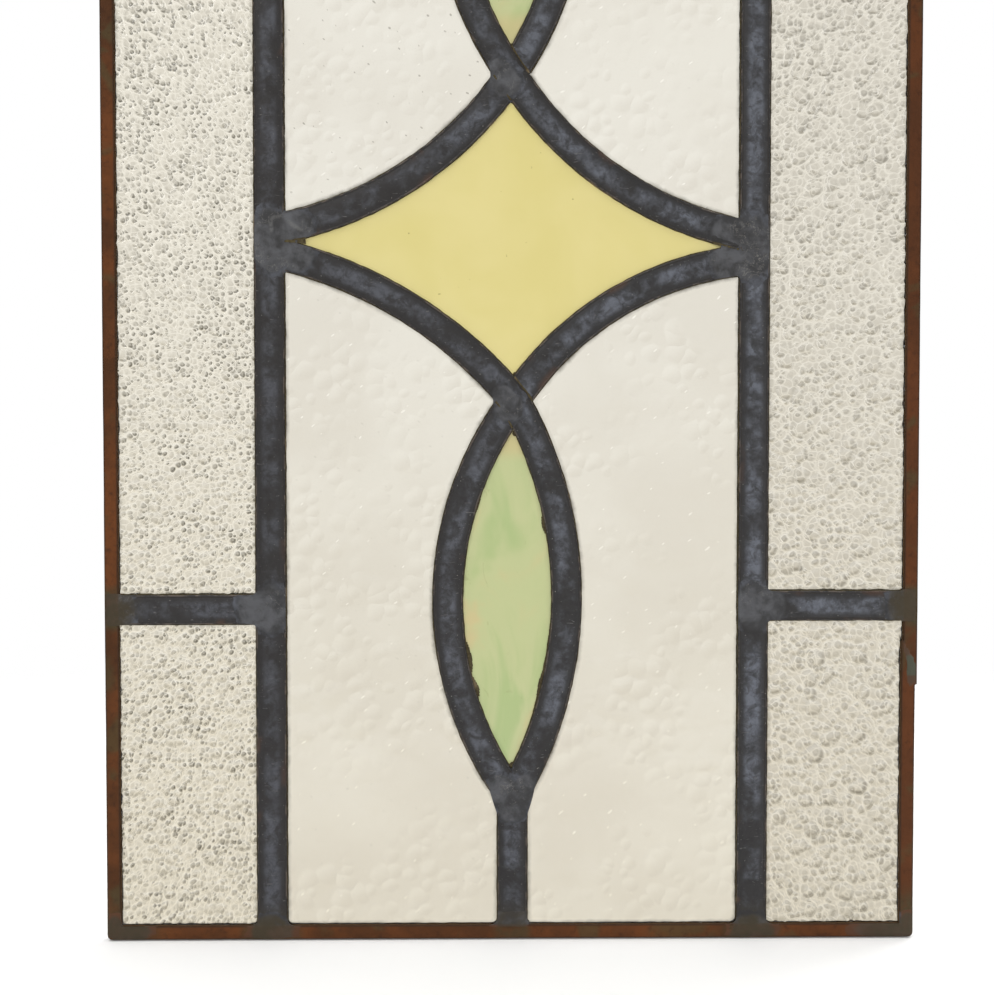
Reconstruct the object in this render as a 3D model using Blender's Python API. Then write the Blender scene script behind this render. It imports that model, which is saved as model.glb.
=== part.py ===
"""A leaded light: clear, yellow and green glass held by lead cames in a thin metal edge channel.

The panel stands upright. +Z is up, its face looks along -Y, and the origin is the middle of the
underside of the bottom channel. All lengths are in metres. The pattern is drawn as centre lines in
the X-Z plane; each came follows one line, and each pane is the shape that its lines enclose.
"""
import math

import bmesh
import bpy
from mathutils import Vector

# Overall panel
PANEL_WIDTH = 0.3300
PANEL_HEIGHT = 0.5715
BUTT_GAP = 0.0003

# Glass and its bed
GLASS_THICK = 0.0032
GLASS_TO_HEART = 0.0007
BED = 0.0005
CHANNEL = GLASS_THICK + 2 * BED

# Lead came, an H in section
CAME_FACE = 0.0127
HEART = 0.0016
LEAF_EDGE = 0.0007
LEAF_CROWN = 0.0015
LEAF_SHOULDER = 0.0013
LEAF_SHOULDER_SIDE = 0.0039

# Edge channel, a U in section
BORDER_FACE = 0.0056
BORDER_WALL = 0.0010
BORDER_FLANGE = 0.0009
BORDER_CHAMFER = 0.0004

# Replaced length of edge channel, low on the right, set in a little and joined on a slant
SPLICE_INSET = 0.0008
SPLICE_OUTER_HEIGHT = 0.1037
SPLICE_INNER_HEIGHT = 0.1218

# Straight cames
POST_SPACING = 0.1956
BAR_LEFT_RISE = 0.1351
BAR_RIGHT_RISE = 0.1364

# Interlaced pattern: a crossing below and above the panel's middle, and an eye and a stem beyond each
LOWER_CROSSING_DROP = 0.0660
LOWER_CROSSING_SIDE = 0.0010
UPPER_CROSSING_RISE = 0.0648
UPPER_CROSSING_SIDE = -0.0004
STEM_HEAD = 0.0584

# Height at which each strand lands on its post, from the panel's middle
LAND_LOWER_LEFT = -0.0078
LAND_LOWER_RIGHT = -0.0097
LAND_UPPER_LEFT = 0.0036
LAND_UPPER_RIGHT = 0.0011

# Bow of each arc, measured from the middle of its chord
DIAMOND_BOW_LOWER_LEFT = 0.0088
DIAMOND_BOW_LOWER_RIGHT = 0.0118
DIAMOND_BOW_UPPER_LEFT = 0.0107
DIAMOND_BOW_UPPER_RIGHT = 0.0113
EYE_BOW_LOWER_LEFT = 0.0267
EYE_BOW_LOWER_RIGHT = 0.0215
EYE_BOW_UPPER_LEFT = 0.0260
EYE_BOW_UPPER_RIGHT = 0.0249

# Fineness of the arcs
DIAMOND_STEPS = 13
EYE_STEPS = 16

# Places worked out from the sizes above
HALF_WIDTH = PANEL_WIDTH / 2
POST_X = POST_SPACING / 2
POST_FACE_X = POST_X - CAME_FACE / 2
GLASS_OFFSET = HEART / 2 + GLASS_TO_HEART
BORDER_GLASS = BORDER_WALL + GLASS_TO_HEART
MIDDLE = PANEL_HEIGHT / 2
LOWER_CROSSING = Vector((LOWER_CROSSING_SIDE, MIDDLE - LOWER_CROSSING_DROP))
UPPER_CROSSING = Vector((UPPER_CROSSING_SIDE, MIDDLE + UPPER_CROSSING_RISE))
LOWER_TIP = Vector((0.0, STEM_HEAD))
UPPER_TIP = Vector((0.0, PANEL_HEIGHT - STEM_HEAD))
LANDINGS = {
    "lower_left": Vector((-POST_FACE_X, MIDDLE + LAND_LOWER_LEFT)),
    "lower_right": Vector((POST_FACE_X, MIDDLE + LAND_LOWER_RIGHT)),
    "upper_left": Vector((-POST_FACE_X, MIDDLE + LAND_UPPER_LEFT)),
    "upper_right": Vector((POST_FACE_X, MIDDLE + LAND_UPPER_RIGHT)),
}
MEETS = {
    "left": MIDDLE + (LAND_LOWER_LEFT + LAND_UPPER_LEFT) / 2,
    "right": MIDDLE + (LAND_LOWER_RIGHT + LAND_UPPER_RIGHT) / 2,
}
SPLICE_EDGE_X = HALF_WIDTH - SPLICE_INSET

# Each half of the pattern: its knots, the way to its stem, and the side of its eye that the
# unbroken strand takes
SIDES = {"left": -1, "right": 1}
OTHER_SIDE = {"left": "right", "right": "left"}
LEVELS = {
    "lower": {"crossing": LOWER_CROSSING, "tip": LOWER_TIP, "outward": -1, "unbroken_eye": "right"},
    "upper": {"crossing": UPPER_CROSSING, "tip": UPPER_TIP, "outward": 1, "unbroken_eye": "left"},
}


def clear_scene():
    for item in list(bpy.data.objects):
        bpy.data.objects.remove(item, do_unlink=True)


# Materials

def material(name, colour, roughness, metallic=0.0, alpha=1.0, transmission=0.0):
    result = bpy.data.materials.new(name)
    result.use_nodes = True
    shader = result.node_tree.nodes["Principled BSDF"]
    shader.inputs["Base Color"].default_value = (*colour, 1.0)
    shader.inputs["Roughness"].default_value = roughness
    shader.inputs["Metallic"].default_value = metallic
    shader.inputs["Alpha"].default_value = alpha
    shader.inputs["Transmission Weight"].default_value = transmission
    result.diffuse_color = (*colour, alpha)
    return result


def make_materials():
    return {
        "lead": material("lead", (0.055, 0.057, 0.066), 0.55, 0.6),
        "border": material("oxidised_channel", (0.115, 0.042, 0.020), 0.6, 0.4),
        "side_glass": material("textured_clear_glass", (0.90, 0.89, 0.84), 0.15, 0.0, 0.45, 0.8),
        "field_glass": material("clear_glass", (0.90, 0.88, 0.82), 0.08, 0.0, 0.35, 0.9),
        "yellow_glass": material("yellow_opal_glass", (0.73, 0.65, 0.27), 0.12, 0.0, 0.9, 0.1),
        "green_glass": material("green_opal_glass", (0.52, 0.60, 0.30), 0.12, 0.0, 0.9, 0.1),
    }


# Lines of the pattern, as lists of points in the X-Z plane

def bowed_arc(start, end, bow, steps):
    """Points along a circular arc over the chord from start to end. A positive bow swells to the left."""
    chord = end - start
    left = Vector((-chord.y, chord.x)).normalized()
    radius = (chord.length_squared / 4 + bow * bow) / (2 * abs(bow))
    inward = -left if bow > 0 else left
    centre = (start + end) / 2 + left * bow + inward * radius
    first = start - centre
    half_turn = math.asin(min(1.0, chord.length / (2 * radius)))
    sweep = -2 * half_turn if bow > 0 else 2 * half_turn
    points = []
    for step in range(steps + 1):
        angle = sweep * step / steps
        turned = Vector((
            first.x * math.cos(angle) - first.y * math.sin(angle),
            first.x * math.sin(angle) + first.y * math.cos(angle),
        ))
        points.append(centre + turned)
    return points


def side_normals(points):
    """The left-hand normal at each point, halved between its two segments and kept to full width."""
    normals = []
    for index, point in enumerate(points):
        before = point - points[index - 1] if index > 0 else points[1] - point
        after = points[index + 1] - point if index < len(points) - 1 else before
        before, after = before.normalized(), after.normalized()
        middle = (before + after).normalized()
        normal = Vector((-middle.y, middle.x))
        normals.append(normal / max(0.5, middle.dot(after)))
    return normals


def offset_line(points, distance):
    """The line moved sideways: to its left for a positive distance."""
    return [point + normal * distance for point, normal in zip(points, side_normals(points))]


def lengthened(points, extra):
    first = points[0] + (points[0] - points[1]).normalized() * extra
    last = points[-1] + (points[-1] - points[-2]).normalized() * extra
    return [first, *points[1:-1], last]


def rectangle(x_one, x_two, z_one, z_two):
    left, right = sorted((x_one, x_two))
    low, high = sorted((z_one, z_two))
    return [Vector((left, low)), Vector((right, low)), Vector((right, high)), Vector((left, high))]


def strand_lines():
    """The centre lines of the four curved strands, each in two arcs that share a crossing point."""
    bows = {
        "diamond_lower_left": DIAMOND_BOW_LOWER_LEFT,
        "diamond_lower_right": -DIAMOND_BOW_LOWER_RIGHT,
        "diamond_upper_left": -DIAMOND_BOW_UPPER_LEFT,
        "diamond_upper_right": DIAMOND_BOW_UPPER_RIGHT,
        "eye_lower_left": -EYE_BOW_LOWER_LEFT,
        "eye_lower_right": EYE_BOW_LOWER_RIGHT,
        "eye_upper_left": EYE_BOW_UPPER_LEFT,
        "eye_upper_right": -EYE_BOW_UPPER_RIGHT,
    }
    lines = {}
    for level, plan in LEVELS.items():
        for name in SIDES:
            diamond, eye = f"diamond_{level}_{name}", f"eye_{level}_{name}"
            landing = LANDINGS[f"{level}_{name}"]
            lines[diamond] = bowed_arc(landing, plan["crossing"], bows[diamond], DIAMOND_STEPS)
            lines[eye] = bowed_arc(plan["crossing"], plan["tip"], bows[eye], EYE_STEPS)
    return lines


# Sections of the metal, as points (sideways, depth)

def came_section():
    """An H with crowned leaves. The leaves are thin at their edges and thicker over the heart."""
    bed = CHANNEL / 2
    half = CAME_FACE / 2
    front = [
        (-HEART / 2, bed),
        (-half, bed),
        (-half, bed + LEAF_EDGE),
        (-LEAF_SHOULDER_SIDE, bed + LEAF_SHOULDER),
        (0.0, bed + LEAF_CROWN),
        (LEAF_SHOULDER_SIDE, bed + LEAF_SHOULDER),
        (half, bed + LEAF_EDGE),
        (half, bed),
        (HEART / 2, bed),
    ]
    back = [(-side, -depth) for side, depth in front]
    return front + back


def border_section():
    """A U that opens away from the panel's edge, with its two outer corners eased."""
    flange_out = CHANNEL / 2 + BORDER_FLANGE
    upper = [
        (0.0, flange_out - BORDER_CHAMFER),
        (BORDER_CHAMFER, flange_out),
        (BORDER_FACE, flange_out),
        (BORDER_FACE, CHANNEL / 2),
        (BORDER_WALL, CHANNEL / 2),
    ]
    lower = [(side, -depth) for side, depth in reversed(upper)]
    return upper + lower


# Solids

def finish_mesh(name, mesh_data, paint):
    bmesh.ops.recalc_face_normals(mesh_data, faces=mesh_data.faces)
    mesh = bpy.data.meshes.new(name)
    mesh_data.to_mesh(mesh)
    mesh_data.free()
    result = bpy.data.objects.new(name, mesh)
    bpy.context.scene.collection.objects.link(result)
    mesh.materials.append(paint)
    return result


def sweep(name, line, section, paint):
    """The section carried along the line, with flat ends."""
    body = bmesh.new()
    rings = []
    for point, normal in zip(line, side_normals(line)):
        ring = []
        for side, depth in section:
            place = point + normal * side
            ring.append(body.verts.new((place.x, depth, place.y)))
        rings.append(ring)
    count = len(section)
    for ring, following in zip(rings, rings[1:]):
        for index in range(count):
            after = (index + 1) % count
            body.faces.new((ring[index], ring[after], following[after], following[index]))
    body.faces.new(rings[0])
    body.faces.new(rings[-1])
    return finish_mesh(name, body, paint)


def slab(name, outline, thickness, paint):
    """A flat plate of the given outline, centred on the panel's middle plane."""
    body = bmesh.new()
    loop = [body.verts.new((point.x, -thickness / 2, point.y)) for point in outline]
    face = body.faces.new(loop)
    moved = bmesh.ops.extrude_face_region(body, geom=[face])["geom"]
    corners = [item for item in moved if isinstance(item, bmesh.types.BMVert)]
    bmesh.ops.translate(body, verts=corners, vec=(0.0, thickness, 0.0))
    return finish_mesh(name, body, paint)


def saw_off(item, point, direction):
    """Cut a solid with a plane through the point, and drop what lies beyond it along the direction."""
    body = bmesh.new()
    body.from_mesh(item.data)
    everything = body.verts[:] + body.edges[:] + body.faces[:]
    cut = bmesh.ops.bisect_plane(
        body,
        geom=everything,
        plane_co=(point.x, 0.0, point.y),
        plane_no=(direction.x, 0.0, direction.y),
        clear_outer=True,
    )
    rim = [edge for edge in cut["geom_cut"] if isinstance(edge, bmesh.types.BMEdge)]
    bmesh.ops.holes_fill(body, edges=rim)
    bmesh.ops.recalc_face_normals(body, faces=body.faces)
    body.to_mesh(item.data)
    body.free()


def cutter(name, outline):
    """A hidden block that runs right through the panel's thickness."""
    depth = 4 * (CHANNEL + 2 * LEAF_CROWN)
    result = slab(name, outline, depth, None)
    result.hide_render = True
    result.display_type = "WIRE"
    return result


def cut_away(item, tool):
    modifier = item.modifiers.new(tool.name, "BOOLEAN")
    modifier.operation = "DIFFERENCE"
    modifier.solver = "EXACT"
    modifier.object = tool


# Edge channel

def border_length(name, start, end, paint):
    """A straight length of channel whose outer wall runs from start to end, flanges to the left."""
    return sweep(name, [start, end], border_section(), paint)


def build_border(paint):
    left, right, top = -HALF_WIDTH, HALF_WIDTH, PANEL_HEIGHT
    splice_end = SPLICE_INNER_HEIGHT + BORDER_FACE
    bottom_left, bottom_right = Vector((left, 0.0)), Vector((SPLICE_EDGE_X, 0.0))
    top_left, top_right = Vector((left, top)), Vector((right, top))
    bottom = border_length("border_bottom", bottom_left, bottom_right, paint)
    head = border_length("border_top", top_right, top_left, paint)
    left_side = border_length("border_left", top_left, bottom_left, paint)
    right_side = border_length("border_right", Vector((right, 0.0)), top_right, paint)
    splice = border_length("border_right_splice", bottom_right, Vector((SPLICE_EDGE_X, splice_end)), paint)

    rising = Vector((-1.0, 1.0)).normalized()
    falling = Vector((1.0, 1.0)).normalized()
    mitres = (
        (bottom, bottom_left, rising),
        (left_side, bottom_left, -rising),
        (bottom, bottom_right, falling),
        (splice, bottom_right, -falling),
        (left_side, top_left, falling),
        (head, top_left, -falling),
        (head, top_right, -rising),
        (right_side, top_right, rising),
    )
    for item, corner, beyond in mitres:
        saw_off(item, corner - beyond * BUTT_GAP / 2, beyond)

    slant = Vector((BORDER_FACE, SPLICE_OUTER_HEIGHT - SPLICE_INNER_HEIGHT)).normalized()
    above = Vector((-slant.y, slant.x))
    joint = Vector((right, SPLICE_OUTER_HEIGHT))
    saw_off(right_side, joint + above * BUTT_GAP / 2, -above)
    saw_off(splice, joint - above * BUTT_GAP / 2, above)


# Straight cames

def build_straight_cames(paint):
    section = came_section()
    inner = BORDER_FACE + BUTT_GAP
    low, high = inner, PANEL_HEIGHT - inner
    for name, side in SIDES.items():
        x = side * POST_X
        sweep(f"came_post_{name}", [Vector((x, low)), Vector((x, high))], section, paint)
        rise = BAR_LEFT_RISE if side < 0 else BAR_RIGHT_RISE
        near = side * (POST_X + CAME_FACE / 2 + BUTT_GAP)
        far = side * (HALF_WIDTH - inner)
        for level, height in (("lower", rise), ("upper", PANEL_HEIGHT - rise)):
            ends = [Vector((near, height)), Vector((far, height))]
            sweep(f"came_bar_{name}_{level}", ends, section, paint)
    head = STEM_HEAD - BUTT_GAP
    sweep("came_stem_lower", [Vector((0.0, low)), Vector((0.0, head))], section, paint)
    foot = PANEL_HEIGHT - head
    sweep("came_stem_upper", [Vector((0.0, foot)), Vector((0.0, high))], section, paint)


# Curved cames

def land_on_post(strand, level, side_name):
    """Cut the strand's end to the post's edge, and to the height where it meets its neighbour."""
    side = SIDES[side_name]
    saw_off(strand, Vector((side * (POST_FACE_X - BUTT_GAP), 0.0)), Vector((side, 0.0)))
    inward = -LEVELS[level]["outward"]
    height = MEETS[side_name] - inward * BUTT_GAP / 2
    saw_off(strand, Vector((0.0, height)), Vector((0.0, inward)))


def stop_at_stem(strand, level):
    saw_off(strand, LEVELS[level]["tip"], Vector((0.0, LEVELS[level]["outward"])))


def cope_cutter(level, line):
    """A cutter as wide as a came and its gap, along the unbroken strand as far as the eye's waist."""
    reach = CAME_FACE / 2 + BUTT_GAP
    path = lengthened(line[:-EYE_STEPS // 2], CAME_FACE)
    return cutter(f"cope_{level}", offset_line(path, reach) + offset_line(path, -reach)[::-1])


def tip_cutter(level, side):
    """A cutter that fills the far side of the centre line, from the eye's waist to past its tip."""
    plan = LEVELS[level]
    waist = (plan["tip"].y + plan["crossing"].y) / 2
    past_tip = plan["tip"].y + plan["outward"] * CAME_FACE
    return cutter(f"tip_{level}", rectangle(side * BUTT_GAP / 2, -side * POST_X, waist, past_tip))


def build_unbroken_strand(level, lines, paint):
    """The strand that runs from its post, through the crossing and round the eye to the stem."""
    eye_side = LEVELS[level]["unbroken_eye"]
    post_side = OTHER_SIDE[eye_side]
    line = lines[f"diamond_{level}_{post_side}"] + lines[f"eye_{level}_{eye_side}"][1:]
    strand = sweep(f"came_sweep_{level}", lengthened(line, CAME_FACE), came_section(), paint)
    land_on_post(strand, level, post_side)
    stop_at_stem(strand, level)
    cut_away(strand, tip_cutter(level, SIDES[eye_side]))
    return line


def build_cut_strand(level, lines, unbroken_line, paint):
    """The other strand, cut in two where it meets the unbroken one."""
    post_side = LEVELS[level]["unbroken_eye"]
    eye_side = OTHER_SIDE[post_side]
    cope = cope_cutter(level, unbroken_line)

    arc = lines[f"diamond_{level}_{post_side}"]
    from_post = [lengthened(arc, CAME_FACE)[0], *arc[1:]]
    diamond_part = sweep(f"came_diamond_{level}_{post_side}", from_post, came_section(), paint)
    land_on_post(diamond_part, level, post_side)
    cut_away(diamond_part, cope)

    arc = lines[f"eye_{level}_{eye_side}"]
    to_stem = [*arc[:-1], lengthened(arc, CAME_FACE)[-1]]
    eye_part = sweep(f"came_eye_{level}_{eye_side}", to_stem, came_section(), paint)
    stop_at_stem(eye_part, level)
    side = SIDES[eye_side]
    saw_off(eye_part, Vector((side * BUTT_GAP / 2, 0.0)), Vector((-side, 0.0)))
    cut_away(eye_part, cope)


def build_strands(lines, paint):
    for level in LEVELS:
        unbroken_line = build_unbroken_strand(level, lines, paint)
        build_cut_strand(level, lines, unbroken_line, paint)


# Panes

def line_crossings(first, second):
    """Every place where two lines cross: (place along the first, place along the second, point)."""
    found = []
    for i in range(len(first) - 1):
        run = first[i + 1] - first[i]
        for j in range(len(second) - 1):
            other = second[j + 1] - second[j]
            area = run.x * other.y - run.y * other.x
            if abs(area) < 1e-15:
                continue
            apart = second[j] - first[i]
            along = (apart.x * other.y - apart.y * other.x) / area
            across = (apart.x * run.y - apart.y * run.x) / area
            if 0 <= along <= 1 and 0 <= across <= 1:
                found.append((i + along, j + across, first[i] + run * along))
    return found


def corner_of(first, second, near):
    return min(line_crossings(first, second), key=lambda crossing: (crossing[2] - near).length)


def pane_outline(sides):
    """The closed outline inside a ring of lines. Each side is (line, knot), where the knot is the
    named point by which that line meets the next one."""
    corners = []
    for index, (line, knot) in enumerate(sides):
        following = sides[(index + 1) % len(sides)][0]
        corners.append(corner_of(line, following, knot))
    outline = []
    for index, (line, _) in enumerate(sides):
        enter = corners[index - 1][1]
        leave = corners[index][0]
        outline.append(corners[index - 1][2])
        if enter < leave:
            outline += [line[k] for k in range(math.floor(enter) + 1, math.ceil(leave))]
        else:
            outline += [line[k] for k in range(math.ceil(enter) - 1, math.floor(leave), -1)]
    return without_repeats(outline)


def without_repeats(outline):
    kept = []
    for point in outline:
        if not kept or (point - kept[-1]).length > BUTT_GAP:
            kept.append(point)
    if (kept[0] - kept[-1]).length <= BUTT_GAP:
        kept.pop()
    return kept


def upright(x):
    """An upright line that runs well past the panel, to be met by others."""
    return [Vector((x, -PANEL_HEIGHT)), Vector((x, 2 * PANEL_HEIGHT))]


def field_side(level, name):
    """+1 where the field pane lies to the left of that quarter's arcs, and -1 where to their right."""
    return 1 if (level == "lower") == (name == "right") else -1


def build_side_panes(paint):
    low = BORDER_GLASS
    high = PANEL_HEIGHT - BORDER_GLASS
    for name, side in SIDES.items():
        inner = side * (POST_X + GLASS_OFFSET)
        outer = side * (HALF_WIDTH - BORDER_GLASS)
        lowest_outer = outer - SPLICE_INSET if side > 0 else outer
        rise = BAR_LEFT_RISE if side < 0 else BAR_RIGHT_RISE
        heights = (
            ("lower", low, rise - GLASS_OFFSET, lowest_outer),
            ("middle", rise + GLASS_OFFSET, PANEL_HEIGHT - rise - GLASS_OFFSET, outer),
            ("upper", PANEL_HEIGHT - rise + GLASS_OFFSET, high, outer),
        )
        for level, bottom, top, edge in heights:
            slab(f"glass_side_{name}_{level}", rectangle(inner, edge, bottom, top), GLASS_THICK, paint)


def build_field_panes(lines, paint):
    reach = 2 * PANEL_WIDTH
    for level, plan in LEVELS.items():
        far = BORDER_GLASS if level == "lower" else PANEL_HEIGHT - BORDER_GLASS
        edge = [Vector((-reach, far)), Vector((reach, far))]
        for name, side in SIDES.items():
            post_x = side * (POST_X - GLASS_OFFSET)
            stem_x = side * GLASS_OFFSET
            offset = field_side(level, name) * GLASS_OFFSET
            diamond = lengthened(lines[f"diamond_{level}_{name}"], CAME_FACE)
            eye = lengthened(lines[f"eye_{level}_{name}"], CAME_FACE)
            outline = pane_outline((
                (upright(post_x), LANDINGS[f"{level}_{name}"]),
                (offset_line(diamond, offset), plan["crossing"]),
                (offset_line(eye, offset), plan["tip"]),
                (upright(stem_x), Vector((stem_x, far))),
                (edge, Vector((post_x, far))),
            ))
            slab(f"glass_field_{level}_{name}", outline, GLASS_THICK, paint)


def build_eye_panes(lines, paint):
    for level, plan in LEVELS.items():
        arcs = []
        for name in SIDES:
            arcs.append(offset_line(lines[f"eye_{level}_{name}"], -field_side(level, name) * GLASS_OFFSET))
        outline = pane_outline(((arcs[0], plan["tip"]), (arcs[1], plan["crossing"])))
        slab(f"glass_eye_{level}", outline, GLASS_THICK, paint)


def build_diamond_pane(lines, paint):
    arcs = {}
    for level in LEVELS:
        for name in SIDES:
            line = lengthened(lines[f"diamond_{level}_{name}"], CAME_FACE)
            arcs[f"{level}_{name}"] = offset_line(line, -field_side(level, name) * GLASS_OFFSET)
    outline = pane_outline((
        (arcs["lower_left"], LOWER_CROSSING),
        (arcs["lower_right"], LANDINGS["lower_right"]),
        (upright(POST_X - GLASS_OFFSET), LANDINGS["upper_right"]),
        (arcs["upper_right"], UPPER_CROSSING),
        (arcs["upper_left"], LANDINGS["upper_left"]),
        (upright(GLASS_OFFSET - POST_X), LANDINGS["lower_left"]),
    ))
    slab("glass_diamond", outline, GLASS_THICK, paint)


def main():
    clear_scene()
    paints = make_materials()
    lines = strand_lines()
    build_border(paints["border"])
    build_straight_cames(paints["lead"])
    build_strands(lines, paints["lead"])
    build_side_panes(paints["side_glass"])
    build_field_panes(lines, paints["field_glass"])
    build_eye_panes(lines, paints["green_glass"])
    build_diamond_pane(lines, paints["yellow_glass"])


main()
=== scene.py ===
# %% [markdown]
# A leaded light
#
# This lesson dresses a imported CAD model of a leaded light: panes of clear, yellow and green glass
# held in strips of lead, called cames, inside a thin metal edge channel. The CAD model gives every
# piece its place and its size. Here each piece gets the finer shape and the finish that the real
# one shows: dented lead, lumpy solder, dark cement and rolled glass.

import math

import bmesh
import bpy
import numpy as np
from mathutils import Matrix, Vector, kdtree, noise


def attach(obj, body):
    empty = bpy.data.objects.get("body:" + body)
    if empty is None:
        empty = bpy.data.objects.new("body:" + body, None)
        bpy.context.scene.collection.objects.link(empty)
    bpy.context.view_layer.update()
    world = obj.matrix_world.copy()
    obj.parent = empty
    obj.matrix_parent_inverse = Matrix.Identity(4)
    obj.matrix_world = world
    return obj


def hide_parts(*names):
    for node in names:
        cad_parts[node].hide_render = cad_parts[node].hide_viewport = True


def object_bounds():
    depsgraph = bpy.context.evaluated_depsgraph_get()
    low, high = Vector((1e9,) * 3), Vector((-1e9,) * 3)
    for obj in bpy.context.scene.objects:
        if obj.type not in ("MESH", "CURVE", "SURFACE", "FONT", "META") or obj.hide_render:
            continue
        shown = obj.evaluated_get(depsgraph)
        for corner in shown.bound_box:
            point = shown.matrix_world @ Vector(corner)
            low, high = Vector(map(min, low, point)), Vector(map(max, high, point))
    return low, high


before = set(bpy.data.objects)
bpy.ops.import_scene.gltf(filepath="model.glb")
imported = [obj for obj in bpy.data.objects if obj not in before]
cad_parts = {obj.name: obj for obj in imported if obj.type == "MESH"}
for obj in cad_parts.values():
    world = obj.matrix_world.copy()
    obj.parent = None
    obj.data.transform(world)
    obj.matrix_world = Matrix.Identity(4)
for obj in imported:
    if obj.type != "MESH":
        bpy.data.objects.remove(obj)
cad_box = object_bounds()
MM = 0.001
print("CAD box in mm:", [round(value / MM, 1) for corner in cad_box for value in corner])

# %% [markdown]
# The drawing
#
# A glazier starts from a full-size drawing, the cutline, on which each came is one line. The same
# is done here: the lines are lists of points in millimetres, x to the right and z up. The straight
# ones could be read from the CAD boxes, but the curved ones can't, so all are drawn from the same
# few sizes. A curve is a circular arc given by its two ends and its bow.

# %% Sizes of the drawing, in millimetres
WIDTH = 330.0
HEIGHT = 571.5
HALF_WIDTH = WIDTH / 2
MIDDLE = HEIGHT / 2
GAP = 0.3
CAME_HALF = 6.35
LEAF_EDGE = 5.98
BORDER_FACE = 5.6
POST_X = 97.8
BAR_RISE = {"left": 135.1, "right": 136.4}
STEM_HEAD = 58.4
SPLICE_INSET = 0.8
SPLICE_OUTER = 103.7
SPLICE_INNER = 121.8
CROSSINGS = {"lower": (1.0, MIDDLE - 66.0), "upper": (-0.4, MIDDLE + 64.8)}
TIPS = {"lower": (0.0, STEM_HEAD), "upper": (0.0, HEIGHT - STEM_HEAD)}
LANDINGS = {
    "lower_left": (-POST_X + CAME_HALF, MIDDLE - 7.8),
    "lower_right": (POST_X - CAME_HALF, MIDDLE - 9.7),
    "upper_left": (-POST_X + CAME_HALF, MIDDLE + 3.6),
    "upper_right": (POST_X - CAME_HALF, MIDDLE + 1.1),
}
MEETS = {
    "left": (LANDINGS["lower_left"][1] + LANDINGS["upper_left"][1]) / 2,
    "right": (LANDINGS["lower_right"][1] + LANDINGS["upper_right"][1]) / 2,
}
BOWS = {
    "diamond_lower_left": 8.8,
    "diamond_lower_right": -11.8,
    "diamond_upper_left": -10.7,
    "diamond_upper_right": 11.3,
    "eye_lower_left": -26.7,
    "eye_lower_right": 21.5,
    "eye_upper_left": 26.0,
    "eye_upper_right": -24.9,
}
SIDES = {"left": -1, "right": 1}
OTHER_SIDE = {"left": "right", "right": "left"}
LEVELS = {"lower": -1, "upper": 1}
UNBROKEN_EYE = {"lower": "right", "upper": "left"}


# %% Draw the arcs
def bowed_arc(start, end, bow, spacing=1.2):
    """Points about spacing apart on an arc over the chord. A positive bow swells to the left."""
    start, end = np.array(start), np.array(end)
    chord = end - start
    length = np.hypot(*chord)
    left = np.array((-chord[1], chord[0])) / length
    radius = (length**2 / 4 + bow**2) / (2 * abs(bow))
    inward = -left if bow > 0 else left
    centre = (start + end) / 2 + left * bow + inward * radius
    sweep = -2 * math.copysign(math.asin(length / (2 * radius)), bow)
    first = start - centre
    angles = np.linspace(0, sweep, int(abs(sweep) * radius / spacing) + 2)
    turned = np.stack(
        [
            first[0] * np.cos(angles) - first[1] * np.sin(angles),
            first[0] * np.sin(angles) + first[1] * np.cos(angles),
        ],
        axis=1,
    )
    return centre + turned


arcs = {}
for level in LEVELS:
    for side in SIDES:
        landing = LANDINGS[f"{level}_{side}"]
        spans = {"diamond": (landing, CROSSINGS[level]), "eye": (CROSSINGS[level], TIPS[level])}
        for part, ends in spans.items():
            name = f"{part}_{level}_{side}"
            arcs[name] = bowed_arc(*ends, BOWS[name])
print("Arcs drawn:", {name: len(points) for name, points in arcs.items()})


# %% Straight lines of the drawing
def straight(x_one, z_one, x_two, z_two, spacing=1.2):
    count = int(math.hypot(x_two - x_one, z_two - z_one) / spacing) + 2
    return np.linspace((x_one, z_one), (x_two, z_two), count)


inner_low = BORDER_FACE + GAP
inner_high = HEIGHT - inner_low
straights = {}
for side, sign in SIDES.items():
    straights[f"post_{side}"] = straight(sign * POST_X, inner_low, sign * POST_X, inner_high)
    near = sign * (POST_X + LEAF_EDGE + GAP)
    far = sign * (HALF_WIDTH - inner_low)
    for level, rise in (("lower", BAR_RISE[side]), ("upper", HEIGHT - BAR_RISE[side])):
        straights[f"bar_{side}_{level}"] = straight(near, rise, far, rise)
straights["stem_lower"] = straight(0, inner_low, 0, STEM_HEAD - GAP)
straights["stem_upper"] = straight(0, HEIGHT - STEM_HEAD + GAP, 0, inner_high)
lead_lines = {**straights, **arcs}
print("Lead lines:", len(lead_lines))

# %% [markdown]
# A node helper
#
# Materials and Geometry Nodes are both node trees, and both get long when each node is made and
# wired by hand. One small helper makes a node, sets its options, and wires its inputs. An input
# may be a plain value or another node's output.


# %% Helper for nodes
def node(tree, kind, wires=None, **options):
    made = tree.nodes.new(kind)
    for name, value in options.items():
        setattr(made, name, value)
    for key, value in (wires or {}).items():
        socket = made.inputs[key]
        if isinstance(value, bpy.types.NodeSocket):
            tree.links.new(value, socket)
        else:
            socket.default_value = value
    return made


def maths(tree, operation, *values):
    return node(tree, "ShaderNodeMath", dict(enumerate(values)), operation=operation).outputs[0]


def times(tree, one, other):
    return maths(tree, "MULTIPLY", one, other)


def apart(tree, one, other):
    return maths(tree, "ABSOLUTE", maths(tree, "SUBTRACT", one, other))


def vector_maths(tree, operation, *values):
    made = node(tree, "ShaderNodeVectorMath", dict(enumerate(values)), operation=operation)
    return made.outputs["Value" if operation == "DOT_PRODUCT" else "Vector"]


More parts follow.
